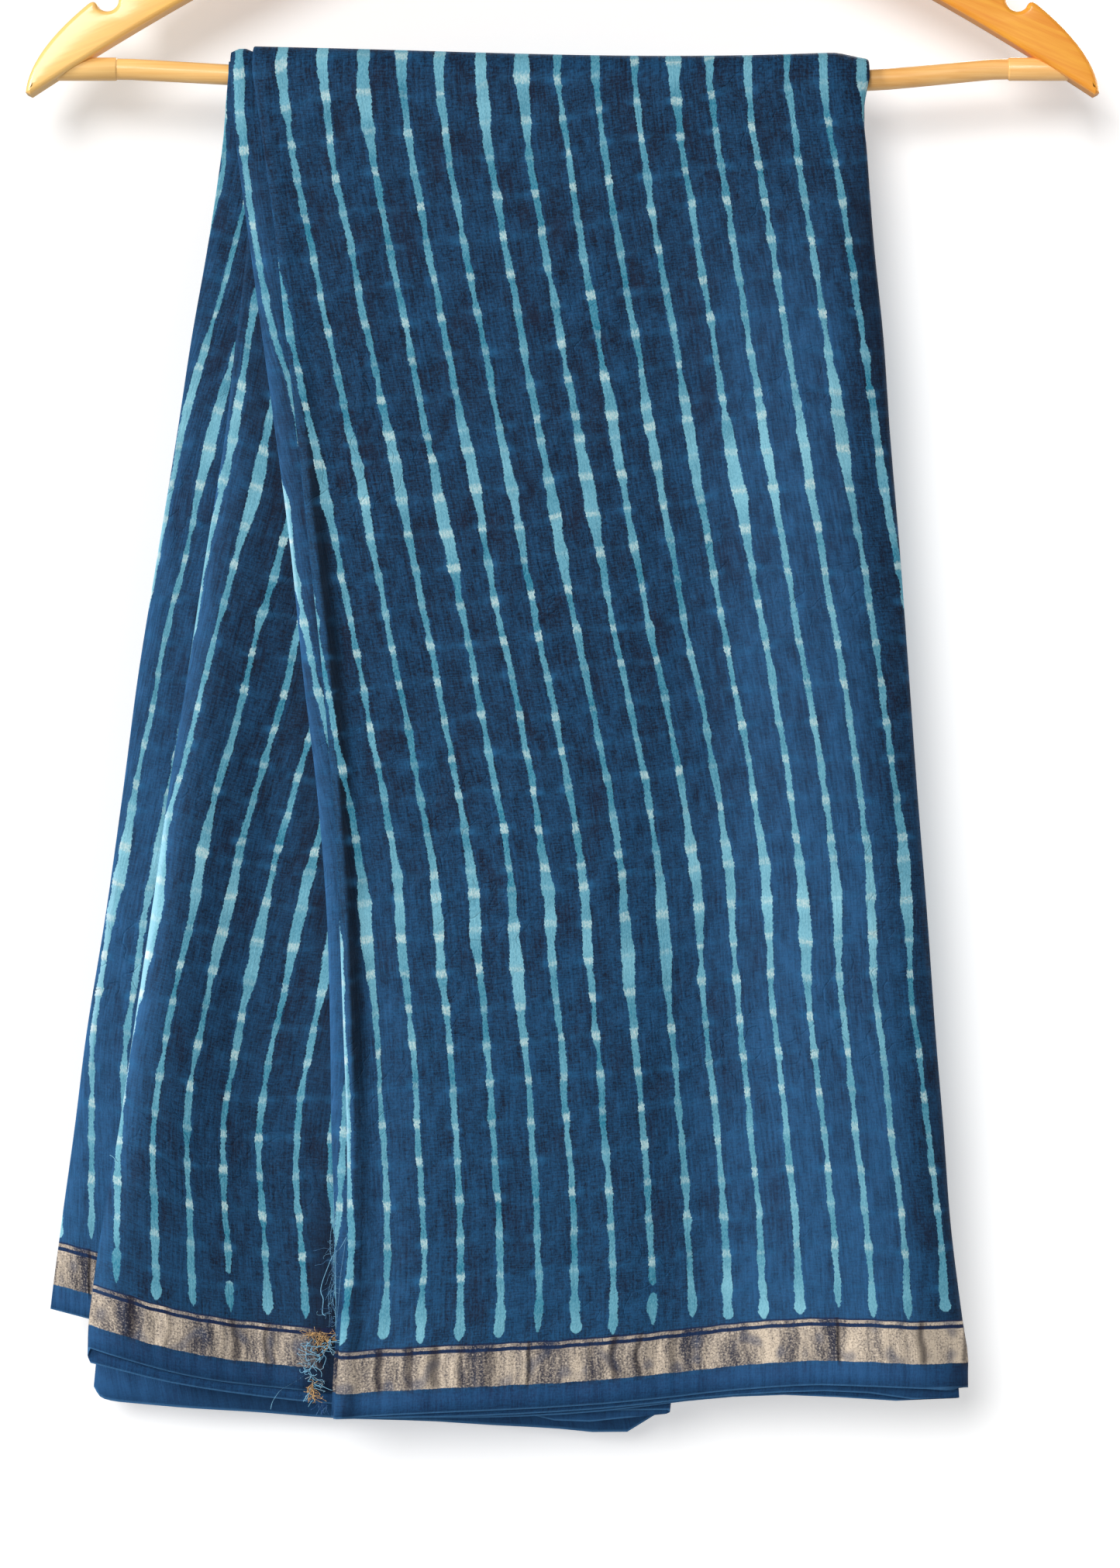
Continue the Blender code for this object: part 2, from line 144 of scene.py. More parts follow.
class Recipe:
    """A material and the tree of nodes behind it."""

    def __init__(self, name):
        self.material = bpy.data.materials.new(name)
        self.material.use_nodes = True
        self.tree = self.material.node_tree
        self.tree.nodes.clear()

    def add(self, kind, settings=None, sockets=(), output=0):
        """Any node: its settings first, then the values or links of its sockets."""
        node = self.tree.nodes.new(kind)
        for name, value in (settings or {}).items():
            setattr(node, name, value)
        for name, value in (sockets.items() if isinstance(sockets, dict) else enumerate(sockets)):
            if isinstance(value, Signal):
                self.tree.links.new(value.socket, node.inputs[name])
            else:
                node.inputs[name].default_value = value
        return Signal(self, node.outputs[output]) if node.outputs else None

    def rise(self, value, low, high):
        """0 below low and 1 above high, with a soft step between them."""
        return self.add("ShaderNodeMapRange", {"interpolation_type": "SMOOTHSTEP"}, [value, low, high])

    def within(self, value, rises, falls):
        """1 between a soft rise and a soft fall, each given by the place of its 0 and its 1."""
        return self.rise(value, *rises) * self.rise(value, *falls)

    def tint(self, share, first, second):
        """A colour between two others."""
        return self.add("ShaderNodeMix", {"data_type": "RGBA"}, {0: share, 6: first, 7: second}, 2)

    def vector(self, operation, first, second):
        """Maths on two vectors, or on a vector and the number that scales it."""
        sockets = {"Vector": first, "Scale": second} if operation == "SCALE" else [first, second]
        return self.add("ShaderNodeVectorMath", {"operation": operation}, sockets)

    def clouds(self, x, y, z=0.0, detail=0.0, rough=0.5):
        """Soft noise between about -1 and 1, one step wide for each unit.

        A plain number as z picks one of many flat patterns, and a signal as z makes the noise solid.
        """
        solid = isinstance(z, Signal)
        if not solid and z:
            x = x + z * PATTERN_STEP
        place = self.add("ShaderNodeCombineXYZ", None, [x, y, z if solid else 0.0])
        drawn = self.add("ShaderNodeTexNoise", {"noise_dimensions": "3D" if solid else "2D"}, {
            "Vector": place, "Scale": 1.0, "Detail": detail, "Roughness": rough})
        return (drawn - 0.5) * NOISE_SPREAD

    def chance(self, number):
        """A fixed random value from 0 to 1 for each whole number."""
        return self.add("ShaderNodeTexWhiteNoise", {"noise_dimensions": "1D"}, {"W": number})

    def places(self, axes):
        """Where a point lies along the named axes of its piece, in millimetres."""
        place = self.add("ShaderNodeTexCoord", None, (), "Object")
        return [self.add("ShaderNodeSeparateXYZ", None, [place], axis) * 1000 for axis in axes]

    def bump(self, height):
        """A normal from a height that is given in millimetres."""
        return self.add("ShaderNodeBump", None, {"Strength": 1.0, "Distance": MM, "Height": height})

    def surface(self, sockets):
        return self.add("ShaderNodeBsdfPrincipled", None, sockets)

    def finish(self, surface):
        self.add("ShaderNodeOutputMaterial", None, {"Surface": surface})
        return self.material


print("material kit ready")

# %% [markdown]
# ## The cloth's pattern
#
# The sari's stripes run from hem to hem. Each is a string of beads: the dyer ties or blocks the cloth at
# even steps, so the stripe swells and thins between them, and a pale tick marks each step. The ticks lie in
# rows across the whole cloth, joined by a faint line where the tie pressed the ground. Along both hems the
# weaver adds a thin line and a broad band of dull gold thread, and the cloth ends in a plain blue edge.
#
# The pattern belongs to the cloth, so it reads the sheet's own maps: `number` counts the stripes across,
# `up` is the height in millimetres along them, and `edge` is the height above the nearest hem. The next map
# says how much painted light pales the cloth where its folds and edges face the lamps, `reach` is the way
# from the face's fold, and the last says how much painted light and shade lie on a layer there. Noise with
# an uneven stretch gives the slubs of the yarn, which run up and down.

# %% Sizes of the pattern, in millimetres
STRIPE_GAP, STRIPE_HALF, STRIPE_LEAST = 16.1, 1.27, 0.72
SWELL_STEP = 185.0
TICK_STEP = 16.0
EDGE_TOP = 10.2
BAND_TOP = 24.6
LINE_FOOT, LINE_TOP = 26.1, 27.5
BORDER_TOP = 28.4
STRIPE_FOOT = 30.6
CREASE_STEP = 11.0
# Where the gold grows paler and ends being pale, along the cloth
PALE_END = (955, 1046), (1180, 1120)

# %% Colours of the dyes and the threads, and of the painted light and shade on them
VAT_DARK, VAT_LIGHT, VAT_PURPLE = ink(14, 27, 45), ink(28, 73, 111), ink(32, 37, 62)
# The first blue below is painted light on lit folds and edges, and the third a painted highlight on the hem.
LIT_BLUE, EDGE_BLUE, HEM_HIGHLIGHT = ink(52, 101, 149), ink(36, 72, 120), ink(84, 140, 190)
# Painted light and shade by the folds: a lit strip, a shaded one, and the shadow under a fold that lies
# over.
FOLD_LIT, FOLD_SHADE, UNDER_FOLD_SHADOW = ink(62, 114, 158), ink(4, 18, 32), ink(12, 20, 36)
TIE_LINE = ink(38, 104, 150)
# The last teal and the last tick colour are painted highlights, where a stripe turns over a lit fold.
TEAL_DEEP, TEAL_PALE, TEAL_LIT = ink(34, 112, 138), ink(140, 198, 214), ink(150, 204, 224)
TICK_DULL, TICK_CREAM, TICK_LIT = ink(132, 180, 188), ink(196, 212, 210), ink(232, 242, 242)
GOLD_DULL, GOLD_PALE, GOLD_BLUE = ink(50, 52, 66), ink(206, 190, 170), ink(66, 76, 98)
GOLD_SHINE, GOLD_DARK = ink(228, 216, 200), ink(44, 48, 64)
# The second colour below is painted shade in the creases of the gold band.
BORDER_DARK, CREASE_SHADE = ink(22, 28, 62), ink(30, 26, 36)


# %% Where a stripe swells and where its ticks lie
def swelling(r, up, own, other):
    """How near a place is to the middle of the stripe's nearest swelling, from 0 to 1."""
    turn = (up - 17 + (other - 0.5) * 34 + own * 9) / SWELL_STEP
    return 1 - r.rise(abs(turn - turn.whole()) * SWELL_STEP, 4, 36)


def tick_row(r, number, up):
    """The repeat of the block at a place, the nearest row of ticks in it, and the way to that row."""
    place = (up + r.clouds(number / 1.7, up / 45, 4.0) * 2.4) / SWELL_STEP
    block = place.math("FLOOR")
    inside = (place - block) * SWELL_STEP
    inside = inside + 7 * r.rise(inside, 36, 37)
    row = (inside / TICK_STEP).whole()
    return block, row, abs(inside - row * TICK_STEP)


# %% Stripes with their beads and ticks
def stripe_parts(r, number, up, edge):
    """How far a place lies in a stripe, in its tick, in the row between ticks and in a swelling."""
    middle = number.whole()
    own, other = r.chance(middle), r.chance(middle + 57.3)
    across = (number - middle) * STRIPE_GAP
    sway = (own - 0.5) * 1.2 + r.clouds(middle * 3.7, up / 30) * 0.55
    away = abs(across - (sway + r.clouds(middle * 5.1, up / 7) * 0.25))
    swell = swelling(r, up, own, other)
    block, row, to_row = tick_row(r, number, up)

    tip = edge - STRIPE_FOOT - (own - 0.5) * 4.4
    drop = (1 - r.rise(abs(tip - 6.5), 1, 7)) * (other - 0.35) * 0.9
    neck = (1 - r.rise(abs(tip - 15), 0.4, 2.6)) * r.rise(other, 0.74, 0.98) * 2.4
    ragged = r.clouds(number * STRIPE_GAP / 0.8, up / 1.1, detail=1.0) * 0.42
    lump = r.clouds(middle * 7.9, up / 10, 2.0, detail=1.0)
    half = STRIPE_HALF + lump * 0.6 + swell * (0.65 + 1.0 * own)
    half = half + drop - neck + (1 - r.rise(to_row, 1.5, 5)) * 0.24
    half = half.at_least(STRIPE_LEAST - neck) * r.rise(tip, -0.6, 2 + other * 6).math("SQRT")
    stripe = r.rise(half + ragged - away, -0.16, 0.22) * r.rise(tip, -0.4, 0.4)

    strength = r.chance(middle * 9.1 + row * 4.4 + block * 2.7)
    length = 0.9 + strength * 0.9 + ragged * 1.8
    tick = r.rise(length - to_row, -0.9, 0.9) * stripe * r.rise(edge, 42, 46)
    tick = tick * (0.18 + 0.62 * r.rise(strength, 0.1, 1.0))
    patchy = r.rise(r.clouds(number * 2.1, up / 6, 8.0, detail=1.0), -0.5, 0.9)
    faint = (1 - r.rise(to_row, 0.0, 3.4)) * patchy
    faint = faint * (0.3 + 0.7 * r.rise(away, 6.5, 1.5))
    return stripe, tick, faint * r.rise(edge, 34, 44), swell


# %% The gold band near the hem
def gold_colour(r, along, bent, edge, grain):
    """Dull gold thread, scuffed in patches down to the blue below it."""
    fine = r.clouds(bent / 4.2, edge / 22, 5.0, detail=2.0, rough=0.6)
    broad = r.clouds(bent / 15, 7.0, 6.0)
    pale_end = r.within(along, *PALE_END)
    lightening = fine * 0.8 + broad * 0.8 + grain * 0.6 + pale_end * 0.55
    patch = r.rise(r.clouds(bent / 7, edge / 8, 11.0) + grain * 0.4, 0.1, 0.9)
    colour = r.tint(r.rise(lightening, -0.85, 1.0), GOLD_DULL, GOLD_PALE)
    colour = r.tint(patch * 0.6, colour, GOLD_BLUE)
    colour = r.tint(r.rise(grain, 0.1, 0.9) * 0.55, colour, GOLD_SHINE)
    return r.tint(r.rise(grain, 0.0, -0.8) * 0.6, colour, GOLD_DARK)


def band_parts(r, along, edge):
    """The share of gold at a place, its colour, its metal gloss, the painted shade of its creases and the
    dark rows beside it.
    """
    grain = r.clouds(along / 0.9, edge / 0.8, detail=2.0, rough=0.7)
    height = edge + r.clouds(along / 9, 3.0) * 0.3 + grain * 0.14
    band = r.within(height, (EDGE_TOP - 0.15, EDGE_TOP + 0.15), (BAND_TOP + 0.15, BAND_TOP - 0.15))
    line = r.within(height, (LINE_FOOT - 0.1, LINE_FOOT + 0.15), (LINE_TOP + 0.1, LINE_TOP - 0.15))
    line = line * r.rise(r.clouds(along / 2.4, 9.0, detail=1.0) + grain * 0.5, -0.95, -0.35)
    rows = r.within(height, (BAND_TOP - 0.4, BAND_TOP), (LINE_TOP + 0.8, LINE_TOP + 0.5))
    bent = along + r.clouds(along / 24, edge / 13, 2.0) * 1.8
    crease = (bent / CREASE_STEP).whole()
    chance = r.chance(crease)
    off = abs(bent - (crease + (chance - 0.5) * 0.8) * CREASE_STEP)
    depth = r.rise(r.chance(crease + 11), 0.3, 0.8) * r.within(edge, (34, 26), (7, 12))
    shade = (1 - r.rise(off, 0.1, 0.9 + chance * 3)) * depth
    return band.at_least(line * 0.9), gold_colour(r, along, bent, edge, grain), band, shade, rows


# %% The ground between the stripes
def ground_colour(r, along, up, edge, faded):
    """Indigo, streaked by its uneven yarn, cloudy from the vat, paler low down, with painted light on lit
    folds and hem.
    """
    streak = r.clouds(along / 1.1, up / 14, detail=1.0)
    fine = r.clouds(along / 0.7, up / 1.2, 7.0, detail=1.0, rough=0.7)
    weft = r.clouds(along / 4, up / 0.5, 1.0)
    wash = r.clouds(along / 17, up / 30, 3.0, detail=2.0, rough=0.6)
    mottle = r.clouds(along / 5, up / 9, 13.0, detail=2.0, rough=0.6)
    share = 0.4 + streak * 0.3 + fine * 0.42 + weft * 0.26 + wash * 0.3 + mottle * 0.26
    share = share + r.rise(edge, 330, 170) * 0.14 + r.rise(edge, 90, 10) * 0.12
    colour = r.tint(share, VAT_DARK, VAT_LIGHT)
    colour = r.tint(r.rise(wash + streak * 0.4, 0.0, -1.0) * 0.25, colour, VAT_PURPLE)
    # Painted light: a paler blue where folds and edges face the lamps.
    colour = r.tint(faded * (0.75 + streak * 0.25 + wash * 0.3 + mottle * 0.2), colour, LIT_BLUE)
    colour = r.tint(r.rise(edge, EDGE_TOP + 1, EDGE_TOP - 3) * 0.35, colour, EDGE_BLUE)
    # Painted highlight along the very edge of the hem.
    return r.tint(r.rise(edge, 0.9, 0.2) * 0.5, colour, HEM_HIGHLIGHT), streak, fine


# %% Painted light and shade at the folds, and on the cloth under them
def fold_tones(r, up, reach, nested, colour):
    """Painted light and shade in two strips beside the face's fold, and painted shadow under a fold that
    lies over.
    """
    reach = reach + r.clouds(up / 40, 3.0) * 0.6
    lit_mottle = r.clouds(reach / 0.35, up / 30, 5.0, detail=1.0)
    lit = r.rise(reach, 4.6, 2.6) * (0.6 + lit_mottle * 0.5)
    dark = r.within(reach, (2.8, 4.6), (12.0, 6.0))
    colour = r.tint(lit * nested.at_least(0) * 0.14, colour, FOLD_LIT)
    colour = r.tint(dark * nested.at_least(0) * 0.9, colour, FOLD_SHADE)
    return r.tint((nested * -0.85).at_least(0), colour, UNDER_FOLD_SHADOW)


# %% The striped field and the gold border
CLOTH_GLOSS = {"Specular IOR Level": 0.1, "Sheen Weight": 0.03, "Sheen Roughness": 0.3,
               "Sheen Tint": (0.6, 0.75, 1.0, 1.0)}


def field_surface(r, read, ground, fine, height):
    """Teal stripes with cream ticks on the ground, paler in the painted light and painted white on lit
    folds.
    """
    number, up, faded = read["number"], read["up"], read["faded"]
    stripe, tick, faint, swell = stripe_parts(r, number, up, read["edge"])
    colour = r.tint(faint * 0.55, ground, TIE_LINE)
    # Painted highlight: stripes and ticks turn white where the painted light is strongest.
    lightening = r.rise(faded, 0.62, 0.95) * 0.85
    shade = r.clouds(number.whole() * 3, up / 11, 5.0) * 0.5 + fine * 0.7
    shade = 0.23 + shade * 0.3 + swell * 0.24 + faded * 0.42
    teal = r.tint(shade, TEAL_DEEP, TEAL_PALE)
    colour = r.tint(stripe, colour, r.tint(lightening, teal, TEAL_LIT))
    cream = r.tint(r.rise(fine, -0.8, 0.8), TICK_DULL, TICK_CREAM)
    colour = r.tint(tick, colour, r.tint(lightening, cream, TICK_LIT))
    return r.surface({**CLOTH_GLOSS, "Base Color": colour, "Roughness": 0.66 + fine * 0.04,
                      "Normal": r.bump(height)})


def border_surface(r, along, edge, nested, ground, weave):
    """The blue edge with gold band and line, creased as stiff metal thread is, with painted shade in the
    creases.
    """
    shown, gold, band, crease, rows = band_parts(r, along, edge)
    colour = r.tint(rows * 0.7, ground, BORDER_DARK)
    colour = r.tint(shown * r.rise(nested, -0.95, -0.6), colour, gold)
    # Painted shade darkens the band's creases; the gold hides in the deepest painted shadow under a fold.
    colour = r.tint(crease * 0.75, colour, CREASE_SHADE)
    folds = r.clouds(along / 5.5, edge / 30, 9.0) * 0.3 - crease * 0.4
    return r.surface({**CLOTH_GLOSS, "Base Color": colour, "Roughness": 0.66 - band * 0.18,
                      "Metallic": band * 0.3, "Normal": r.bump(weave + folds * r.rise(edge, 28, 22))})


# %% The cloth's material
SHEET_MAPS = {"cloth": {"number": 100, "up": 1000}, "hem": {"edge": 1000, "faded": 1},
              "fold": {"reach": 1000, "nested": 1}}


def read_maps(r):
    """What the sheet's maps say at a place, times their units, so that lengths are in millimetres."""
    read = {}
    for map_name, held in SHEET_MAPS.items():
        place = r.add("ShaderNodeUVMap", {"uv_map": map_name})
        for axis, (name, unit) in zip("XY", held.items()):
            value = r.add("ShaderNodeSeparateXYZ", None, [place], axis)
            read[name] = value if unit == 1 else value * unit
    return read


def chanderi():
    """Two surfaces, the field and the border, so that each is worked out only where it shows."""
    r = Recipe("indigo_chanderi")
    read = read_maps(r)
    up, edge, nested = read["up"], read["edge"], read["nested"]
    along = read["number"] * STRIPE_GAP
    ground, streak, fine = ground_colour(r, along, up, edge, read["faded"])
    ground = fold_tones(r, up, read["reach"], nested, ground)
    weave = streak * 0.06 + fine * 0.04
    crumple = r.clouds(along / 15 + up / 34, up / 11 - along / 26, 6.0, detail=1.0)
    patch = r.rise(r.clouds(along / 60, up / 60, 9.0), -0.1, 0.8)
    crumple = crumple * 0.36 - r.rise(abs(crumple), 0.09, 0.0) * patch * 0.19
    field = field_surface(r, read, ground, fine, weave + crumple)
    border = border_surface(r, along, edge, nested, ground, weave)
    in_border = r.rise(edge, BORDER_TOP, BORDER_TOP - 0.1)
    return r.finish(r.add("ShaderNodeMixShader", None, [in_border, field, border]))


cloth_finish = chanderi()
print("cloth material:", len(cloth_finish.node_tree.nodes), "nodes")

# %% [markdown]
# ## How the cloth lies
#
# Six layers lie on each other in one back-and-forth run. The cut end is inside on the left. The cloth runs
# right, folds back, folds again at the left edge of the face, crosses the front as the face, folds round the
# right edge, and comes back below as the fan, whose folds spread out to the left towards the hem.
#
# A curve through a short table gives each fold's place at any height, so an uneven drape needs few numbers.
# The tables hold millimetres: `below` is the drop below the bar's middle, the other columns lie across it.
# `c_fold` and `b_fold` are the left folds of the face and the fan, `raw_end` and `a_end` are the cut end and
# the last panel's end, `outer_fold` is the face's right fold and `back_fold` is the one below the fan.

# %% Folds and ends of the layers
Level = namedtuple("Level", "below c_fold raw_end b_fold a_end outer_fold back_fold")
FRONT = [Level(*row) for row in [
    (0, -130, -139, -131, -140, 128.8, 124), (14, -127.9, -137.9, -131.2, -141.2, 126.2, 123.1),
    (30, -125.5, -136.5, -131.5, -142.5, 127.4, 122), (70, -120, -131, -132.5, -148.5, 130.4, 119.5),
    (110, -115.8, -125.5, -137, -155.5, 134.4, 117), (150, -111.2, -120, -141.5, -161.5, 137.1, 113.5),
    (200, -106, -113.5, -149.5, -169.5, 141.2, 108), (250, -100.5, -108.5, -157, -177.5, 144.8, 101),
    (300, -96.5, -102.5, -165, -184, 148.3, 92), (350, -93.5, -98.5, -172, -191, 152.2, 83),
    (400, -91.6, -97, -179.5, -199, 155.7, 74), (440, -90.2, -96.5, -185.5, -204, 159, 66),
    (480, -90.2, -95.1, -192.5, -209.5, 162, 58), (520, -92.6, -94.7, -198, -214.5, 167, 50),
    (534, -93.6, -95.2, -198.5, -214.6, 169.2, 48), (546, -94.6, -95.8, -199, -214.8, 169.2, 46.5),
    (570, -96.5, -97, -199.5, -215, 171, 44)]]
BACK = [Level(*row) for row in [
    (0, -130, -139, -131, -140, 127.5, 124), (60, -127, -137, -132.5, -141.5, 128, 120.5),
    (150, -122, -134, -138, -149.5, 131, 110), (250, -118, -130, -147, -162, 135.5, 94),
    (350, -115, -127, -157.5, -175, 141, 75), (450, -112.5, -124, -167, -187, 146.5, 58),
    (520, -111, -122, -172, -195, 150, 48), (570, -110.5, -121, -175, -200, 152, 44)]]
Layer = namedtuple("Layer", "name left right depth forward steps crowd")
LAYERS = [
    Layer("under", "raw_end", "inner_fold", 3, True, 22, 2.2),
    Layer("lining_turn", "c_fold", "inner_fold", 4, False, 14, 1.0),
    Layer("face", "c_fold", "outer_fold", 5, True, 84, 1.0),
    Layer("fan", "b_fold", "outer_fold", 2, False, 54, 1.7),
    Layer("fan_back", "b_fold", "back_fold", 1, True, 18, 1.3),
    Layer("last", "a_end", "back_fold", 0, False, 30, 1.9),
]

# %% Drops of the hems
Hem = namedtuple("Hem", "share front back")
HEMS = {name: [Hem(*row) for row in rows] for name, rows in {
    "face": [
        (0, 560, 543), (0.16, 557.4, 541), (0.35, 555.2, 541), (0.53, 551.4, 543), (0.65, 548, 542),
        (0.76, 545.7, 541), (0.85, 545.9, 540), (0.94, 547, 539), (0.985, 548, 538.5), (1, 546.8, 537)],
    "lining_turn": [
        (0, 560.5, 545), (0.35, 557.5, 543), (0.7, 549.4, 544), (0.83, 548.6, 543.5), (0.89, 550.6, 543),
        (0.97, 553, 542), (1, 551.4, 542)],
    "under": [
        (0, 560, 547), (0.35, 559, 545), (0.7, 550.6, 546), (0.9, 552.8, 545), (0.98, 554, 544),
        (1, 552, 544)],
    "fan": [
        (0, 531.3, 538), (0.12, 543.2, 540), (0.24, 549, 544), (0.4, 552, 547), (0.7, 548.6, 544),
        (1, 548, 541)],
    "fan_back": [
        (0, 537.6, 541), (0.16, 546.7, 545), (0.36, 553.8, 549), (0.65, 557, 556), (1, 557.5, 557)],
    "last": [
        (0, 515.3, 550.5), (0.012, 516.1, 554.6), (0.03, 517.3, 556.3), (0.06, 519.3, 557.2),
        (0.27, 534, 561), (0.42, 543, 564), (0.6, 552.6, 565), (0.72, 555.6, 566.8), (0.8, 561.2, 568),
        (0.86, 562.6, 569.2), (0.93, 561, 570.2), (1, 559.4, 560)],
}.items()}

# %% Curves through the tables
def eased(rows, at, start, column):
    """A column's value at a place between the rows, on a smooth curve through them."""
    places = [getattr(row, start) for row in rows]
    values = [getattr(row, column) for row in rows]
    at = min(max(at, places[0]), places[-1])
    last = len(rows) - 1
    i = next(k for k in range(last) if at <= places[k + 1])
    width = places[i + 1] - places[i]

    def slope(k):
        low, high = max(k - 1, 0), min(k + 1, last)
        return (values[high] - values[low]) / (places[high] - places[low])

    t = (at - places[i]) / width
    rise = values[i + 1] - values[i]
    lead, trail = slope(i) * width - rise, rise - slope(i + 1) * width
    return values[i] + rise * t + t * (1 - t) * (lead * (1 - t) + trail * t)


def smooth(value, low=0.0, high=1.0):
    share = min(max((value - low) / (high - low), 0.0), 1.0)
    return share * share * (3 - 2 * share)


def during(value, rises, falls):
    """1 between a soft rise and a soft fall, each given by its two ends."""
    return smooth(value, *rises) * (1 - smooth(value, *falls))


print("hems from", min(h.front for rows in HEMS.values() for h in rows), "mm below the bar")

# %% [markdown]
# ## From the tables to a place in space
#
# The stack starts just clear of the bowed bar and its layers open out towards the hem, as loose cloth does.
# Shared flutes keep the layers from crossing each other. Near the fan's fold and the cut end the sheet
# bulges and rolls back, because several layers are turned there, and the light catches that side.

# %% Sizes of the stack
BAR_RADIUS = 4.4
BAR_END_HEIGHT, BAR_SAG, BAR_SAG_SKEW, COLLAR_INNER_END = 2.4, 4.4, 0.55, 180.0
STACK_CLEAR, SHEET = 0.6, 1.0
CLOTH_THICK = 0.45
GAP_AT_BAR, GAP_AT_HEM, LONG_DROP = 0.3, 1.2, 570.0
FRONT_LEAN, BACK_LEAN, BAR_FOLLOW, INNER_FOLD_INSET = 5.0, 7.0, 70.0, 4.0
FAN_BULGE, END_ROLL, FACE_RIDGE, FACE_VALLEY, FACE_BULGE = 3.0, 1.3, 1.3, 1.2, 5.0
# The depths that bulge with the fan, roll with the cut end, rise with the ridge and crease with the face
FAN_DEPTHS, END_DEPTHS, RIDGE_DEPTH, CREASE_DEPTH = (0.9, 2.1), (2.9, 3.1), 4.4, 4.5
Flute = namedtuple("Flute", "reach length start drift")
FLUTES = {
    "front": [Flute(1.5, 158.0, 0.6, 0.0042), Flute(0.9, 91.0, 2.1, -0.0035), Flute(0.5, 61.0, 4.0, 0.002)],
    "back": [Flute(1.9, 142.0, 1.4, -0.003), Flute(1.1, 87.0, 0.3, 0.0041), Flute(0.5, 64.0, 2.7, -0.002)],
}


# %% The stack's shape
def bar_height(across):
    """The bowed bar's middle above its level."""
    if abs(across) >= COLLAR_INNER_END:
        return BAR_END_HEIGHT
    turn = math.pi * across / (2 * COLLAR_INNER_END)
    return BAR_END_HEIGHT - BAR_SAG * math.cos(turn) * (1 + BAR_SAG_SKEW * math.sin(turn))


def edge_of(side, name, below):
    if name == "inner_fold":
        return eased(side, below, "below", "outer_fold") - INNER_FOLD_INSET
    return eased(side, below, "below", name)


def grown(below):
    """How far the cloth has loosened: 0 at the bar and 1 at the longest hem."""
    return smooth(below / LONG_DROP)


def pitch(below):
    return SHEET + GAP_AT_BAR + (GAP_AT_HEM - GAP_AT_BAR) * grown(below)


def fold_puff(side, across, below):
    """The fan's bulge beside its fold, where nothing lies on it."""
    fold = edge_of(side, "b_fold", below)
    room = edge_of(side, "raw_end", below) - fold
    return FAN_BULGE * smooth(room, 9, 60) * during(across - fold, (-2, 11), (11, 48))


def end_roll(side, across, below):
    """The cut end's strip, rolled back towards the cloth below it."""
    reach = across - edge_of(side, "raw_end", below)
    return -END_ROLL * grown(below + 200) * (1 - smooth(reach, 0, 8)) ** 2


def face_ridge(side, across, below):
    """The face's ridge along its left fold, the valley beside it, and the bulge before its right fold."""
    reach = across - edge_of(side, "c_fold", below)
    room = edge_of(side, "outer_fold", below) - across
    ridge = FACE_RIDGE * during(reach, (-1, 3), (3, 10)) - FACE_VALLEY * during(reach, (4, 13), (13, 34))
    bulge = FACE_BULGE * smooth(below, 0, 190) * during(-room, (-86, -30), (-27, 2))
    return grown(below + 120) * ridge + bulge


def cloth_ripple(kind, across, below, depth):
    """Small soft creases of one layer, less than the room between the layers."""
    turn = 9.0 if kind == "back" else 0.0
    height = 0.35 if depth > CREASE_DEPTH else 0.12
    soft = noise.noise(Vector((across / 21, below / 80, 3.3 * depth + turn))) * 0.45
    small = noise.noise(Vector((across / 8, below / 34, 5.1 * depth + turn))) * height
    return (soft + small) * (0.35 + 0.65 * grown(below + 60))


def bunching(across, below):
    """How far the layers lie apart beside the fold at the bar's right and the loose rolls at its left."""
    right = -0.5 * smooth(across, 112, 130)
    left = 0.45 * smooth(-across, 130.5, 133.5) - 0.6 * smooth(-across, 134, 141)
    return 1 + (right + left) * (1 - smooth(below, 0, 30))


def on_cloth(row, across, below, depth):
    """A point of the stack at a place across the bar, a drop below it and a depth, counted in layers."""
    kind, value = row
    out = BAR_RADIUS + STACK_CLEAR + SHEET / 2 + depth * pitch(below) * bunching(across, below)
    middle = bar_height(across)
    if kind == "bar":
        angle = math.radians(value)
        return Vector((across, -out * math.cos(angle), middle + out * math.sin(angle)))
    height = middle * (1 - smooth(below / BAR_FOLLOW)) - below
    side = FRONT if kind == "front" else BACK
    lean = FRONT_LEAN if kind == "front" else BACK_LEAN
    out += grown(below) * (lean + sum(
        f.reach * math.sin(2 * math.pi * across / f.length + f.start + f.drift * below) for f in FLUTES[kind]
    ))
    out += cloth_ripple(kind, across, below, depth) * smooth(below, 4, 40)
    if FAN_DEPTHS[0] < depth < FAN_DEPTHS[1]:
        out += fold_puff(side, across, below) * (depth - 0.5) / 1.5
    if END_DEPTHS[0] < depth < END_DEPTHS[1]:
        out += end_roll(side, across, below)
    if depth > RIDGE_DEPTH:
        out += face_ridge(side, across, below) * (depth - 4)
    return Vector((across, -out if kind == "front" else out, height))


print("layers", round(pitch(0), 2), "mm apart at the bar and", round(pitch(LONG_DROP), 2), "mm at the hem")

# %% [markdown]
# ## Where the stripes lie on each layer
#
# The stripes are straight on the flat cloth, but each layer is turned a little as it fans out, so they lean
# on the hung sari. A table for each layer that shows says where a few of its stripes cross each height, and
# the others follow between and beside them. Hidden layers carry the pattern on round their folds.

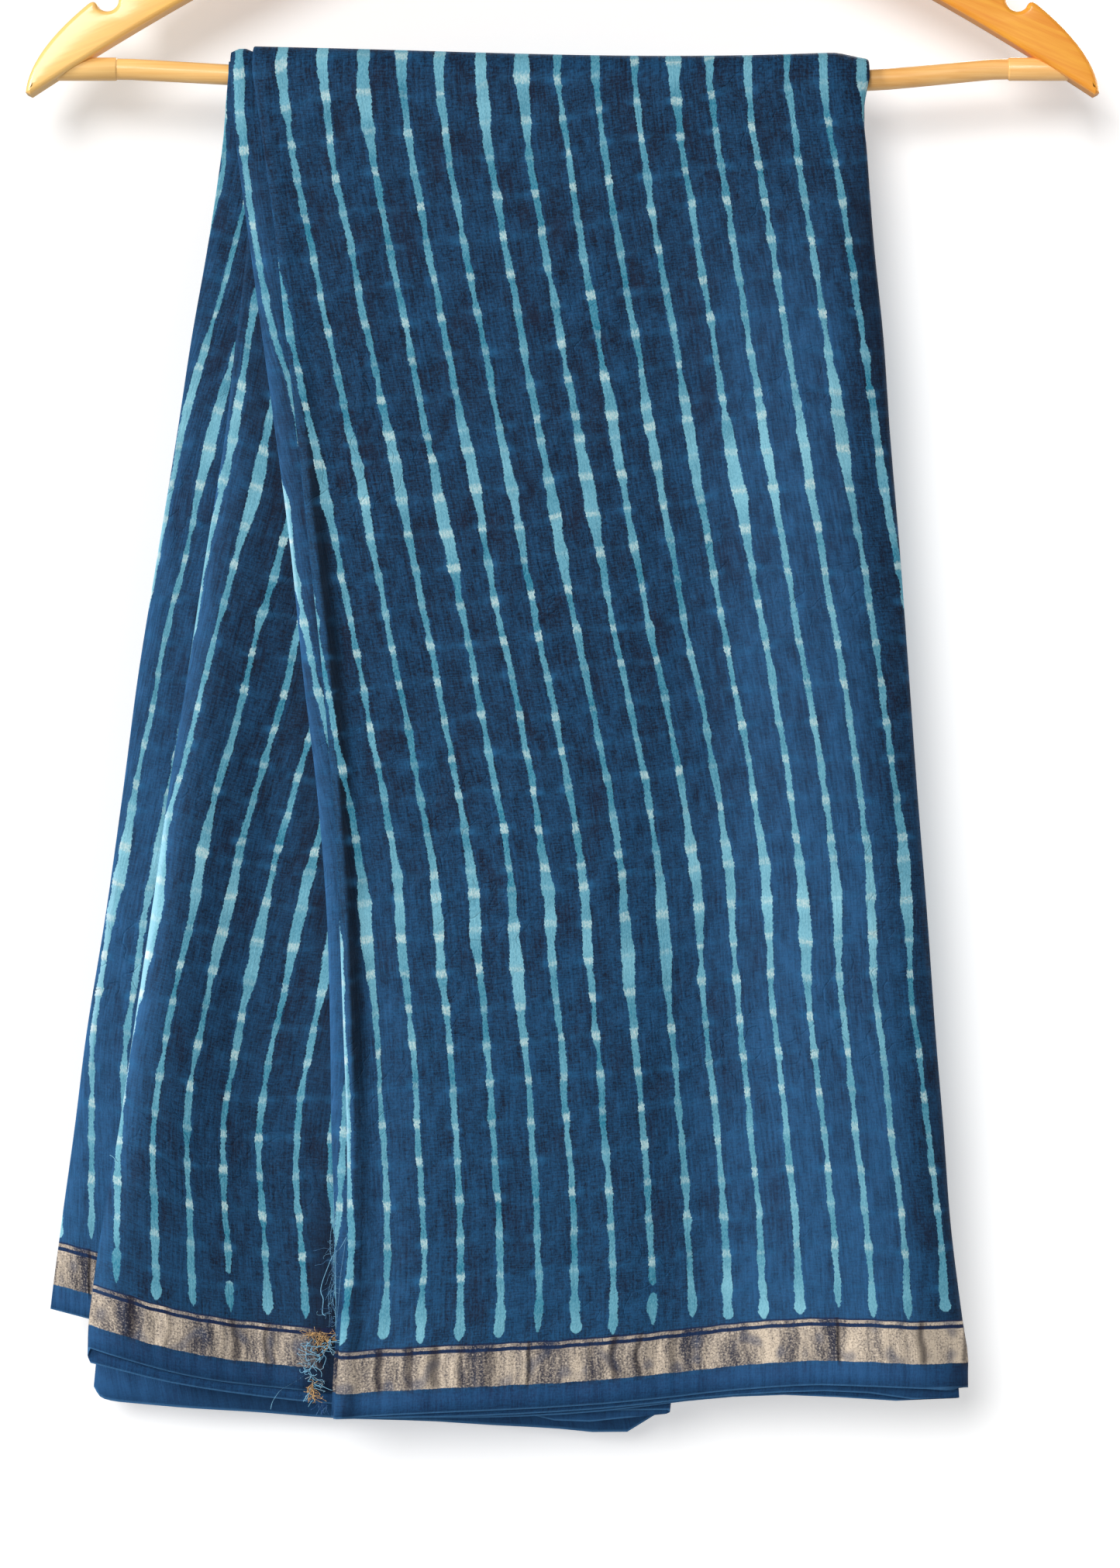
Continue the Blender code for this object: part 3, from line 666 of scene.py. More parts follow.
# %% Stripe lines
Line = namedtuple("Line", "below first second third")
FoldLine = namedtuple("FoldLine", "below fold first second third")
FACE_LINES = [FoldLine(*row) for row in [
    (-7, -167.2, -150.7, -2.3, 92.5), (34, -161.8, -145.4, 2.6, 98), (72, -153.2, -137, 8.4, 104.1),
    (124, -141.5, -125.6, 17.5, 111.9), (176, -129.6, -114, 26.5, 119.9),
    (228, -119, -103.7, 35.9, 128.7), (279, -108, -94.2, 46.6, 136.1),
    (331, -98.4, -84.8, 55.3, 142.3), (360, -93.4, -82.1, 57.2, 143.5), (383, -91.6, -79.5, 58.8, 144.5),
    (411, -90.4, -77.1, 61.6, 147.8), (435, -89.5, -75.7, 64, 150.7), (460, -88.7, -74.2, 66, 153.7),
    (486, -88, -73.1, 67.9, 156.8), (515, -89.9, -74.1, 69.2, 159.1), (532, -94, -75.3, 69.9, 160)]]
FAN_LINES = [FoldLine(*row) for row in [
    (52, -121.5, -104, -70.5, -39), (80, -126.9, -109.4, -75.9, -44.4),
    (108, -131.4, -115.1, -81.5, -50.4), (140, -136.6, -122.2, -88.6, -57.5),
    (169, -142, -127.2, -93.1, -62.1), (202, -149.6, -136.4, -101.8, -70.8),
    (231, -154.2, -144.5, -110.2, -79.2), (259, -161, -151, -116.4, -85.4),
    (289, -170, -158.7, -125.1, -93.8), (319, -179, -165.9, -133.5, -101.8),
    (349, -184, -169.4, -140, -109), (377, -190, -174.6, -146.1, -114.8),
    (402, -195.5, -179.9, -151.3, -120.3), (422, -198, -182.7, -154.9, -124),
    (441, -200, -184.3, -156.8, -126.4), (460, -201, -185.1, -156.2, -126.4),
    (486, -201, -185.3, -155, -124.6), (515, -202, -185.9, -153.9, -122.9)]]
LAST_LINES = [Line(below, x - left, x, x + 15) for below, left, x in [
    (38, 12.2, -117), (57, 12.2, -121.6), (74, 12, -126.4), (104, 12.4, -134.5), (135, 12.7, -143.2),
    (166, 11.1, -151.6), (199, 10.6, -158.1), (227, 8.9, -165.5), (259, 10, -171.3),
    (289, 11, -177.2), (319, 12, -182.7), (350, 12.6, -189.1), (378, 12.6, -193.3),
    (394, 12.6, -195.9), (409, 12.6, -197.4), (442, 12.6, -197.5), (489, 12.6, -197.5)]]
UNDER_LINES = [FoldLine(below, x - 31 - tuck, x - 15.5 - tuck, x, x + 15.5) for below, x, tuck in [
    (-11, -134.5, 0), (0, -135.1, 0), (16, -134.8, 0), (30, -133.3, 0), (48, -131.7, 0), (64, -129, 0),
    (80, -126.2, 0), (96, -123, 0), (112, -119.3, 0), (127, -114.8, 0), (138, -112, 0),
    (149, -109.6, 1.5), (162, -106.9, 0.4), (176, -104.4, -2.6), (190, -101.2, -1.3), (206, -97.6, 0),
    (241, -90.2, 0.3), (277, -82.8, 0), (325, -73.1, 0), (360, -71.3, 0), (389, -72.1, 0),
    (411, -73.7, 0), (437, -76, 0), (462, -77.4, 0), (478, -78.7, 0), (488, -78.9, 1.4),
    (496, -79.2, 3.8), (515, -79.8, 5.2)]]
Pattern = namedtuple("Pattern", "lines numbers start back_lean")
PATTERNS = {
    "face": Pattern(FACE_LINES, (-3, -2, 7, 13), 52, 0.11),
    "fan": Pattern(FAN_LINES, (1, 0, -2, -4), 90, -0.16),
    "last": Pattern(LAST_LINES, (-1, 0, 1), 62, -0.2),
    "under": Pattern(UNDER_LINES, (-2, -1, 0, 1), 44, 0.08),
}


# %% Stripe numbers
def counted(pattern, across, below):
    """How many stripes a place lies from the layer's first one."""
    at = [eased(pattern.lines, below, "below", name) for name in pattern.lines[0]._fields[1:]]
    low = sum(across >= x for x in at[1:-1])
    share = (across - at[low]) / (at[low + 1] - at[low])
    numbers = pattern.numbers
    return pattern.start + numbers[low] + (numbers[low + 1] - numbers[low]) * share


def stripe_number(kind, name, across, below):
    """The place across the flat cloth, counted in stripes."""
    pattern = PATTERNS[name]
    if kind == "back":
        return counted(pattern, across + pattern.back_lean * below, 0)
    return counted(pattern, across, below if kind == "front" else 0)


def turned_number(kind, name, fold, across, below):
    """The number on a layer that comes back under a visible one from their shared fold."""
    return 2 * stripe_number(kind, name, fold, below) - stripe_number(kind, name, across, below)


def number_on(row, layer, across, below):
    kind = row[0]
    side = BACK if kind == "back" else FRONT
    if layer.name == "lining_turn":
        return turned_number(kind, "face", edge_of(side, "c_fold", below), across, below)
    if layer.name == "fan_back":
        return turned_number(kind, "fan", edge_of(side, "b_fold", below), across, below)
    own = stripe_number(kind, layer.name, across, below)
    if layer.name != "fan":
        return own
    turned = turned_number(kind, "face", edge_of(side, "outer_fold", below), across, below)
    return own + (turned - own) * smooth(across, 10, 100)


print("stripes on the face at the bar:", round(
    stripe_number("front", "face", 127, 0) - stripe_number("front", "face", -130, 0), 1))

# %% [markdown]
# ## Weaving the sheet
#
# The sheet is one grid. A row runs through all six layers and the folds between them, and the rows go up the
# front, round the bar and down the back. Each corner carries its place on the flat cloth, so the pattern
# bends with every fold. A Solidify modifier then gives the sheet its thickness.

# %% Heights on the flat cloth
Corner = namedtuple("Corner", "place number up edge faded reach nested")
ROW_TILT, TILT_MIDDLE = 0.00011, 35.0
FAR_FROM_HEM, FAR_FROM_FOLD = 400.0, 90.0
# The way over the bar along the middle of the stack
WAY_OVER_BAR = math.pi * (BAR_RADIUS + 4)
# The hem's last corner turns up past this share of a layer, and the rows of the pattern don't follow it.
CORNER_SHARE = 0.94
# The border is drawn a little narrower on the fan, and wider on the last panel's back.
EDGE_SCALE, BACK_EDGE_SCALE = {"fan": 1.05}, {"last": 0.66}


def layer_drop(row, layer, share):
    kind, value = row
    return 0.0 if kind == "bar" else value * eased(HEMS[layer.name], share, "share", kind)


def height_on(row, layer, share, across, below):
    """The height up the flat cloth from the front hem, and the height above the nearest hem."""
    kind, value = row
    full = eased(HEMS[layer.name], min(share, CORNER_SHARE), "share", "front")
    up = {"front": full - below, "bar": full + WAY_OVER_BAR * value / 180,
          "back": full + WAY_OVER_BAR + below}[kind]
    edge = full - below if kind == "front" else FAR_FROM_HEM
    if kind == "back":
        edge = eased(HEMS[layer.name], share, "share", "back") - below
        edge *= BACK_EDGE_SCALE.get(layer.name, 1)
    edge *= EDGE_SCALE.get(layer.name, 1)
    return up * (1 - ROW_TILT * (across - TILT_MIDDLE)), edge


# %% Painted light on the cloth, where folds and edges face the lamps
def beside(reach, width):
    """1 at a fold and less beside it: about a third at the width, and hardly any at twice the width."""
    return math.exp(-(max(reach, 0.0) / width) ** 2)


def fan_painted_light(side, across, below):
    """A broad soft painted light along the fan's fold, and a thin painted highlight where the fold stands
    out.
    """
    reach = across - edge_of(side, "b_fold", below)
    lightening = 0.46 * smooth(below, 40, 180) * (1 - 0.4 * smooth(below, 440, 520))
    soft = lightening * beside(reach, 5.0) + 0.24 * smooth(below, 60, 200) * beside(reach, 14)
    lit = during(below, (300, 325), (390, 440))
    return soft + lit * (0.16 * beside(reach, 5.0) + 0.4 * beside(reach, 1.7))


def under_painted_light(side, across, below):
    """The cut end, with painted light along the cut, where it rolls back towards the lamps."""
    reach = across - edge_of(side, "raw_end", below)
    thin = 0.1 + 0.45 * during(below, (90, 190), (420, 460))
    return thin * beside(reach, 1.3) + 0.5 * smooth(below, 20, 60) * beside(reach, 7.5)


def last_painted_light(side, across, below):
    """The last panel, paler towards its foot, with painted light along its end."""
    strength = 0.3 + 0.25 * during(below, (90, 150), (220, 300))
    strength += 0.24 * during(below, (230, 300), (420, 470))
    edge = strength * beside(across - edge_of(side, "a_end", below), 4.0)
    return edge + 0.24 * smooth(below, 60, 200) + 0.2 * smooth(below, 250, 380)


def face_painted_light(side, across, below):
    """The face, with painted light on its right and low on its left, and a painted highlight along its left
    fold.
    """
    reach = across - edge_of(side, "c_fold", below)
    room = edge_of(side, "outer_fold", below) - across
    right = 0.38 * smooth(below, 20, 120) * smooth(across, 30, 100) * smooth(room, 10, 24)
    left = 0.22 * smooth(below, 280, 400) * smooth(-across, 50, 75) * smooth(reach, 4, 12)
    thin = 0.6 * beside(reach, 0.6)
    lit = during(below, (350, 372), (450, 470))
    return right + left + thin + lit * (beside(reach, 2.2) - thin)


# The painted light of each layer.
PAINTED_LIGHTS = {"under": under_painted_light, "lining_turn": face_painted_light, "face": face_painted_light, "fan": fan_painted_light,
           "fan_back": fan_painted_light, "last": last_painted_light}


# %% Where painted light and shade lie by the folds
def fold_shading_at(side, layer, across, below):
    """Way from the face's fold and its painted light and shade; below 0, painted shade under a fold or on a
    turned edge.
    """
    if layer.name == "face":
        reach = across - edge_of(side, "c_fold", below)
        room = edge_of(side, "outer_fold", below) - across
        fold_light = smooth(below, 90, 190) * (1 - 0.6 * smooth(below, 400, 450))
        # Painted shade where the face rolls away from the light before its right fold.
        turned = 0.72 * smooth(-room, -17, -5) * smooth(below, 20, 60)
        return reach, fold_light - turned * (1 + fold_light)
    if layer.name == "fan":
        # Painted shadow in the gap under the cut end, and painted shade on the fan away from its lit fold.
        room = edge_of(side, "raw_end", below) - across
        gap_shadow = smooth(-room, -16, -12) * smooth(below, 455, 500)
        lit = smooth(across - edge_of(side, "b_fold", below), 3, 16)
        return FAR_FROM_FOLD, -0.22 * lit - 0.3 * smooth(-room, -12, -1) - 0.5 * gap_shadow
    return FAR_FROM_FOLD, 0.0


# %% One row of the sheet
FRONT_STEPS, BAR_STEPS, BACK_STEPS = 98, 9, 56
NARROW_FOLD_STEPS, WIDE_FOLD_STEPS = 6, 10


def fold_radius(first, second, below):
    return abs(first.depth - second.depth) * pitch(below) / 2


def layer_edges(row, layer, index, below):
    """The two ends of a layer's flat stretch, drawn in where it turns into the next layer."""
    side = BACK if row[0] == "back" else FRONT
    ends = {"left": edge_of(side, layer.left, below), "right": edge_of(side, layer.right, below)}
    for other in LAYERS[max(index - 1, 0):index] + LAYERS[index + 1:index + 2]:
        for end, inward in (("left", 1), ("right", -1)):
            if getattr(other, end) == getattr(layer, end):
                ends[end] += inward * (fold_radius(layer, other, below) + SHEET / 2)
    return ends["left"], ends["right"]


def corner(row, layer, share, across, below, depth):
    side = BACK if row[0] == "back" else FRONT
    up, edge = height_on(row, layer, share, across, below)
    return Corner(on_cloth(row, across, below, depth), number_on(row, layer, across, below), up, edge,
                  PAINTED_LIGHTS[layer.name](side, across, below), *fold_shading_at(side, layer, across, below))


def layer_corners(row, index):
    layer = LAYERS[index]
    made = []
    for step in range(layer.steps + 1):
        share = (step / layer.steps) ** layer.crowd
        below = layer_drop(row, layer, share)
        left, right = layer_edges(row, layer, index, below)
        made.append(corner(row, layer, share, left + (right - left) * share, below, layer.depth))
    return made if layer.forward else made[::-1]


def fold_corners(row, index):
    """The corners round the fold that a layer shares with the next one."""
    first, second = LAYERS[index], LAYERS[index + 1]
    share, outward = (1.0, 1) if first.forward else (0.0, -1)
    drops = [layer_drop(row, layer, share) for layer in (first, second)]
    steps = NARROW_FOLD_STEPS if abs(first.depth - second.depth) == 1 else WIDE_FOLD_STEPS
    made = []
    for step in range(1, steps):
        turn = math.pi * step / steps
        below = drops[0] + (drops[1] - drops[0]) * step / steps
        flat_end = layer_edges(row, first, index, below)[1 if first.forward else 0]
        across = flat_end + outward * fold_radius(first, second, below) * math.sin(turn)
        middle, half = (first.depth + second.depth) / 2, (first.depth - second.depth) / 2
        layer = first if step < steps / 2 else second
        made.append(corner(row, layer, share, across, below, middle + half * math.cos(turn)))
    return made


# %% The whole sheet
def sheet_rows():
    rows = [("front", 1 - step / FRONT_STEPS) for step in range(FRONT_STEPS)]
    rows += [("bar", 180 * step / BAR_STEPS) for step in range(BAR_STEPS + 1)]
    return rows + [("back", (step + 1) / BACK_STEPS) for step in range(BACK_STEPS)]


def weave_sheet():
    rows = []
    for row in sheet_rows():
        corners = []
        for index in range(len(LAYERS)):
            corners += layer_corners(row, index)
            if index + 1 < len(LAYERS):
                corners += fold_corners(row, index)
        rows.append(corners)
    width = len(rows[0])
    flat = [c for row in rows for c in row]
    faces = [(k, k + 1, k + width + 1, k + width)
             for r in range(len(rows) - 1) for k in range(r * width, r * width + width - 1)]
    lift = Vector((0, 0, SEAT_HEIGHT))
    data = bpy.data.meshes.new("indigo_sari")
    data.from_pydata([(c.place - lift) * MM for c in flat], [], faces)
    for map_name, held in SHEET_MAPS.items():
        values = [tuple(getattr(c, name) / unit for name, unit in held.items()) for c in flat]
        layer = data.uv_layers.new(name=map_name)
        layer.data.foreach_set("uv", [x for loop in data.loops for x in values[loop.vertex_index]])
    data.polygons.foreach_set("use_smooth", [True] * len(data.polygons))
    data.materials.append(cloth_finish)
    sari = add_object("indigo_sari", data)
    thickness = sari.modifiers.new("thickness", "SOLIDIFY")
    thickness.thickness = CLOTH_THICK * MM
    thickness.offset = 0
    return sari, len(flat)


sari, corners_made = weave_sheet()
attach(sari, "root")
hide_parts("sari")
print("the sheet has", corners_made, "corners")

# %% [markdown]
# ## Loose threads at the cut end
#
# Where the sari was cut from the loom, its weft has worked loose at the foot: long pale threads hang down,
# and gold and blue ones are matted into small tufts. The short ones are grown with Geometry Nodes: lines are
# set on points along a root path, each turned and sized at random, bent by noise that grows towards their
# tips, and given a thin body. One tree makes every tuft, with other numbers on its inputs. The few long
# threads that the eye can follow are laid along paths of their own.

# %% Thread material
def loose_yarn():
    """Indigo, pale blue or gold yarn, as each thread's stored dye says: 0, 0.5 or 1."""
    r = Recipe("loose_yarn")
    dye = r.add("ShaderNodeAttribute", {"attribute_name": "dye"}, (), "Fac")
    x, z = r.places("XZ")
    mottle = r.clouds(x / 0.9, z / 0.9, detail=1.0)
    colour = r.tint(r.rise(dye + mottle * 0.1, 0.0, 0.5), ink(30, 74, 130), ink(128, 186, 216))
    gold = r.tint(r.rise(mottle, -0.7, 0.7), ink(124, 92, 62), ink(226, 186, 128))
    colour = r.tint(r.rise(dye, 0.6, 0.9), colour, gold)
    return r.finish(r.surface({
        "Base Color": colour, "Roughness": 0.62 + mottle * 0.08, "Specular IOR Level": 0.3,
        "Normal": r.bump(mottle * 0.04)}))


loose_finish = loose_yarn()
print("thread material:", len(loose_finish.node_tree.nodes), "nodes")


# %% A tree of geometry nodes
class Growth(Recipe):
    """A Geometry Nodes tree with named inputs, written in the same way as a material."""

    def __init__(self, name, inputs):
        self.tree = bpy.data.node_groups.new(name, "GeometryNodeTree")
        face = self.tree.interface
        face.new_socket("Geometry", in_out="OUTPUT", socket_type="NodeSocketGeometry")
        self.keys = {}
        for title, kind in inputs.items():
            socket = face.new_socket(title, in_out="INPUT", socket_type="NodeSocket" + kind)
            self.keys[title] = socket.identifier
        self.entry = self.tree.nodes.new("NodeGroupInput")

    def given(self, title):
        return Signal(self, self.entry.outputs[title])

    def random(self, kind, sockets, output=0):
        return self.add("FunctionNodeRandomValue", {"data_type": kind}, sockets, output)


# %% The tree that grows threads
# A thread's points and sides, how far it turns to the side, its shortest share of the length, how much its
# dye varies, and how far away in the noise it may lie
POINTS_A_THREAD, BODY_SIDES = 12, 4
SIDE_TURN, SHORTEST_SHARE, TONE_SPREAD, OWN_NOISE = 0.3, 0.3, 0.16, 40


def thread_tree():
    g = Growth("grow_threads", {
        "Geometry": "Geometry", "Threads": "Int", "Length": "Float", "Splay": "Float", "Curl": "Float",
        "Curl Step": "Float", "Thickness": "Float", "Dye": "Float", "Seed": "Int"})
    seed = g.given("Seed")
    path = g.add("GeometryNodeMeshToCurve", None, {"Mesh": g.given("Geometry")})
    count = g.given("Threads")
    roots = g.add("GeometryNodeCurveToPoints", {"mode": "COUNT"}, {"Curve": path, "Count": count})
    line = g.add("GeometryNodeCurvePrimitiveLine", None, {"Start": (0, 0, 0), "End": (0, 0, -1)})
    line = g.add("GeometryNodeResampleCurve", None, {"Curve": line, "Count": POINTS_A_THREAD})
    most = g.add("ShaderNodeCombineXYZ", None, [SIDE_TURN, g.given("Splay"), 0.0])
    least = g.vector("SCALE", most, -1.0)
    turn = g.random("FLOAT_VECTOR", {0: least, 1: most, 8: seed})
    share = g.random("FLOAT", {2: SHORTEST_SHARE, 3: 1.0, 8: seed + 1}, 1)
    grown = g.add("GeometryNodeInstanceOnPoints", None, {
        "Points": roots, "Instance": line, "Rotation": turn, "Scale": share * g.given("Length")})
    threads = g.add("GeometryNodeRealizeInstances", None, {"Geometry": grown})

    index = g.add("GeometryNodeInputIndex")
    each = g.add("GeometryNodeFieldOnDomain", {"data_type": "INT", "domain": "CURVE"}, {0: index})
    own = g.random("FLOAT_VECTOR", {0: (-OWN_NOISE,) * 3, 1: (OWN_NOISE,) * 3, 7: each, 8: seed + 2})
    steps = g.vector("SCALE", g.add("GeometryNodeInputPosition"), g.given("Curl Step"))
    place = g.vector("ADD", steps, own)
    curl = g.add("ShaderNodeTexNoise", None, {"Vector": place, "Scale": 1.0, "Detail": 0.0}, 1)
    curl = g.vector("SUBTRACT", curl, (0.5, 0.5, 0.5))
    curl = g.vector("MULTIPLY", curl, (1.0, 0.35, 1.0))
    reach = g.add("GeometryNodeSplineParameter").math("POWER", 0.7) * g.given("Curl") * 4
    bend_by = g.vector("SCALE", curl, reach)
    threads = g.add("GeometryNodeSetPosition", None, {"Geometry": threads, "Offset": bend_by})

    tone = g.random("FLOAT", {2: -TONE_SPREAD, 3: TONE_SPREAD, 7: each, 8: seed + 3}, 1)
    threads = g.add("GeometryNodeStoreNamedAttribute", {"data_type": "FLOAT", "domain": "POINT"}, {
        "Geometry": threads, "Name": "dye", "Value": g.given("Dye") + tone})
    ring = g.add("GeometryNodeCurvePrimitiveCircle", None, {
        "Resolution": BODY_SIDES, "Radius": g.given("Thickness") / 2})
    body = g.add("GeometryNodeCurveToMesh", None, {
        "Curve": threads, "Profile Curve": ring, "Fill Caps": True})
    body = g.add("GeometryNodeRealizeInstances", None, {"Geometry": body})
    body = g.add("GeometryNodeSetMaterial", None, {"Geometry": body, "Material": loose_finish})
    g.add("NodeGroupOutput", None, {"Geometry": body})
    return g


growth = thread_tree()
print("thread tree:", len(growth.tree.nodes), "nodes")


# %% Growing one tuft
def at_front(across, below, depth):
    place = on_cloth(("front", 1.0), across, below, depth)
    return (place - Vector((0, 0, SEAT_HEIGHT))) * MM


def grow(roots, values):
    """Threads from a path of roots, each given as across, below and depth, as points, faces and dyes."""
    data = bpy.data.meshes.new("roots")
    data.from_pydata([at_front(*root) for root in roots], [(k, k + 1) for k in range(len(roots) - 1)], [])
    drawn = add_object("roots", data)
    rule = drawn.modifiers.new("threads", "NODES")
    rule.node_group = growth.tree
    for title, value in values.items():
        rule[growth.keys[title]] = value
    made = bpy.data.meshes.new_from_object(drawn.evaluated_get(bpy.context.evaluated_depsgraph_get()))
    bpy.data.objects.remove(drawn, do_unlink=True)
    dyes = [item.value for item in made.attributes["dye"].data]
    return [tuple(vert.co) for vert in made.vertices], [tuple(face.vertices) for face in made.polygons], dyes


# %% The tufts and the long threads
# Roots are places across, drops below the bar and depths in layers. A strand's path is places and drops.
Tuft = namedtuple("Tuft", "roots threads length splay curl step thick dye")
TUFTS = [
    Tuft([(-95.5, 466, 3.4), (-95.0, 496, 3.4)], 10, 30, 0.12, 2.0, 70, 0.13, 0.22),
    Tuft([(-96.0, 486, 3.3), (-96.5, 522, 3.3)], 50, 6.0, 1.9, 2.2, 260, 0.12, 0.22),
    Tuft([(-105.0, 524.5, 4.2), (-101.0, 525.0, 4.2), (-97.5, 528.0, 4.2)],
         50, 5.0, 2.2, 2.6, 420, 0.22, 1.0),
    Tuft([(-96.5, 526.5, 4.4), (-101.5, 534, 4.4), (-106.0, 541.5, 4.4)],
         34, 6.5, 2.2, 2.8, 300, 0.22, 0.55),
    Tuft([(-106.5, 528, 4.4), (-107.5, 539, 4.4)], 14, 5.0, 2.6, 3.0, 320, 0.2, 0.6),
    Tuft([(-104.0, 542, 4.0), (-104.5, 550, 4.0)], 16, 6.5, 1.6, 2.2, 300, 0.22, 0.6),
    Tuft([(-104.5, 545.5, 4.2), (-103.5, 551.5, 4.2)], 36, 4.5, 2.0, 2.0, 420, 0.22, 1.0),
    Tuft([(-103.0, 552, 3.2), (-98.0, 555, 3.2)], 16, 6.0, 0.6, 1.4, 200, 0.2, 0.1),
]
Strand = namedtuple("Strand", "thick dye first_depth last_depth path")
STRANDS = [
    Strand(0.34, 0.42, 5.5, 3.6, [
        (-89.9, 484.4), (-92.3, 488.7), (-94.2, 490.7), (-95.8, 492.6), (-97.8, 497.3), (-100.1, 503.6),
        (-100.7, 507.5), (-99.7, 510.6), (-100.1, 516.1), (-98.9, 517.7)]),
    Strand(0.26, 0.36, 4.2, 4.2, [(-94.4, 490.0), (-94.6, 501.0), (-94.4, 512.0), (-94.5, 523.0)]),
    Strand(0.2, 0.25, 5.4, 4.0, [
        (-90.3, 485.6), (-91.1, 491.8), (-92.3, 499.7), (-93.1, 509.1), (-94.2, 522.4)]),
    Strand(0.26, 0.45, 4.4, 2.6, [
        (-106.4, 541.5), (-111.9, 545.4), (-117.4, 548.6), (-120.9, 553.5), (-121.9, 557.0)]),
    Strand(0.3, 0.5, 3.0, 2.9, [(-188.8, 450.7), (-187.6, 451.4), (-186.2, 452.9)]),
]

# %% Laying a long thread
Knot = namedtuple("Knot", "at across below")
KNOT_STEPS = 4


def lay(strand):
    """One long thread laid over the cloth, as the points, faces and dyes of a thin four-sided body."""
    knots = [Knot(at, *place) for at, place in enumerate(strand.path)]
    steps = KNOT_STEPS * (len(knots) - 1)
    points, faces = [], []
    for step in range(steps + 1):
        depth = strand.first_depth + (strand.last_depth - strand.first_depth) * step / steps
        across, below = [eased(knots, step / KNOT_STEPS, "at", column) for column in ("across", "below")]
        middle = at_front(across, below, depth)
        for side in range(BODY_SIDES):
            turn = 2 * math.pi * side / BODY_SIDES
            around = Vector((math.cos(turn), math.sin(turn), 0.6 * math.cos(turn)))
            points.append(tuple(middle + around * strand.thick / 2 * MM))
            if step:
                near, far = BODY_SIDES * (step - 1), BODY_SIDES * step
                following = (side + 1) % BODY_SIDES
                faces.append((near + side, near + following, far + following, far + side))
    last_ring = BODY_SIDES * steps
    faces += [tuple(reversed(range(BODY_SIDES))), tuple(range(last_ring, last_ring + BODY_SIDES))]
    return points, faces, [strand.dye] * len(points)


# %% All the threads as one piece
def grow_all():
    bundles = [grow(tuft.roots, {
        "Threads": tuft.threads, "Length": tuft.length * MM, "Splay": tuft.splay, "Curl": tuft.curl * MM,
        "Curl Step": float(tuft.step), "Thickness": tuft.thick * MM, "Dye": tuft.dye, "Seed": 7 * number})
        for number, tuft in enumerate(TUFTS)]
    points, faces, dyes = [], [], []
    for more, rings, shades in bundles + [lay(strand) for strand in STRANDS]:
        faces += [tuple(k + len(points) for k in ring) for ring in rings]
        points += more
        dyes += shades
    data = bpy.data.meshes.new("loose_threads")
    data.from_pydata(points, [], faces)
    data.attributes.new("dye", "FLOAT", "POINT").data.foreach_set("value", dyes)
    data.polygons.foreach_set("use_smooth", [True] * len(data.polygons))
    data.materials.append(loose_finish)
    return add_object("loose_threads", data)


loose_threads = grow_all()
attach(loose_threads, "root")
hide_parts("frayed_threads")
print("loose threads:", sum(tuft.threads for tuft in TUFTS) + len(STRANDS), "of",
      len(loose_threads.data.polygons), "faces")

# %% [markdown]
# ## The wooden hanger
#
# The arms are sawn from one board, rounded over along every edge, and coated with honey coloured lacquer.
# The outline is a curve that a bevel rounds, with the strap notches drawn into it, so their edges are
# rounded too, as a router leaves them. The dowel is turned from paler wood and bows under the cloth.

# %% Wood
def lacquered_wood(name, light, dark, coat, stretch, lean, pale):
    """Long grain along X, a few darker flecks and soft blotches below a clear coat, and painted glare on the
    left end.
    """
    r = Recipe(name)
    x, y, z = r.places("XYZ")
    z = z + abs(x) * lean
    waver = r.clouds(x / 60, y / 20, z / 20) * 5
    grain = r.clouds(x / stretch, y / 1.6 + waver / 9, z / 1.6 + waver / 5, detail=3.0, rough=0.6)
    pores = r.clouds(x / 9, y / 0.45, z / 0.45, detail=1.0)
    blotch = r.clouds(x / 34, y / 14, z / 9, detail=2.0)
    colour = r.tint(r.rise(grain + blotch * 0.5, -1.0, 1.0), light, dark)
    colour = r.tint(r.rise(pores, 0.55, 1.0) * 0.3, colour, ink(170, 100, 40))
    # Painted reflection: the lacquer's glare from the left light pales the left end.
    colour = r.tint(r.rise(x, -90, -215) * pale, colour, ink(255, 220, 140))
    return r.finish(r.surface({
        "Base Color": colour,
        "Roughness": 0.42 + grain * 0.05,
        "Specular IOR Level": 0.4,
        "Coat Weight": coat,
        "Coat Roughness": 0.16,
        "Normal": r.bump(grain * 0.02 + pores * 0.012),
    }))


honey_wood = lacquered_wood("honey_wood", ink(246, 172, 54), ink(228, 136, 26), 0.6, 34, 0.42, 0.6)
pale_wood = lacquered_wood("pale_wood", ink(252, 202, 130), ink(230, 166, 86), 0.35, 55, 0.0, 0.3)
print("woods:", honey_wood.name, "and", pale_wood.name)

# %% The board's outline
BOARD_THICK, BOARD_ROUNDING = 14.0, 2.4
BOARD_TOP, BOARD_UNDER = 132.0, 92.0
UNDER_FALL, UNDER_FALL_AT, UNDER_POWER = 61.0, 160.5, 1.42
TOP_FALL, SHOULDER_AT, TOP_POWER, PEAK_ROUND = 101.3, 199.0, 1.67, 26.0
SHOULDER_PULL, TIP, TIP_UNDER = (223.5, 10.5), (225.0, -6.3), (223.0, -7.3)
NOTCH_AT, NOTCH_RADIUS, NOTCH_MOUTH, LIP_PULL = (190.8, 32.6), 4.8, 38.0, (195.8, 33.4)


def arch(across, crown, fall, fall_at, power):
    """The height of an edge that falls away from its rounded crown."""
    def reach(x):
        return (x * x + PEAK_ROUND ** 2) ** (power / 2) - PEAK_ROUND ** power

    return crown - fall * reach(across) / reach(fall_at)


def top_of(x):
    return (x, arch(x, BOARD_TOP, TOP_FALL, SHOULDER_AT, TOP_POWER))


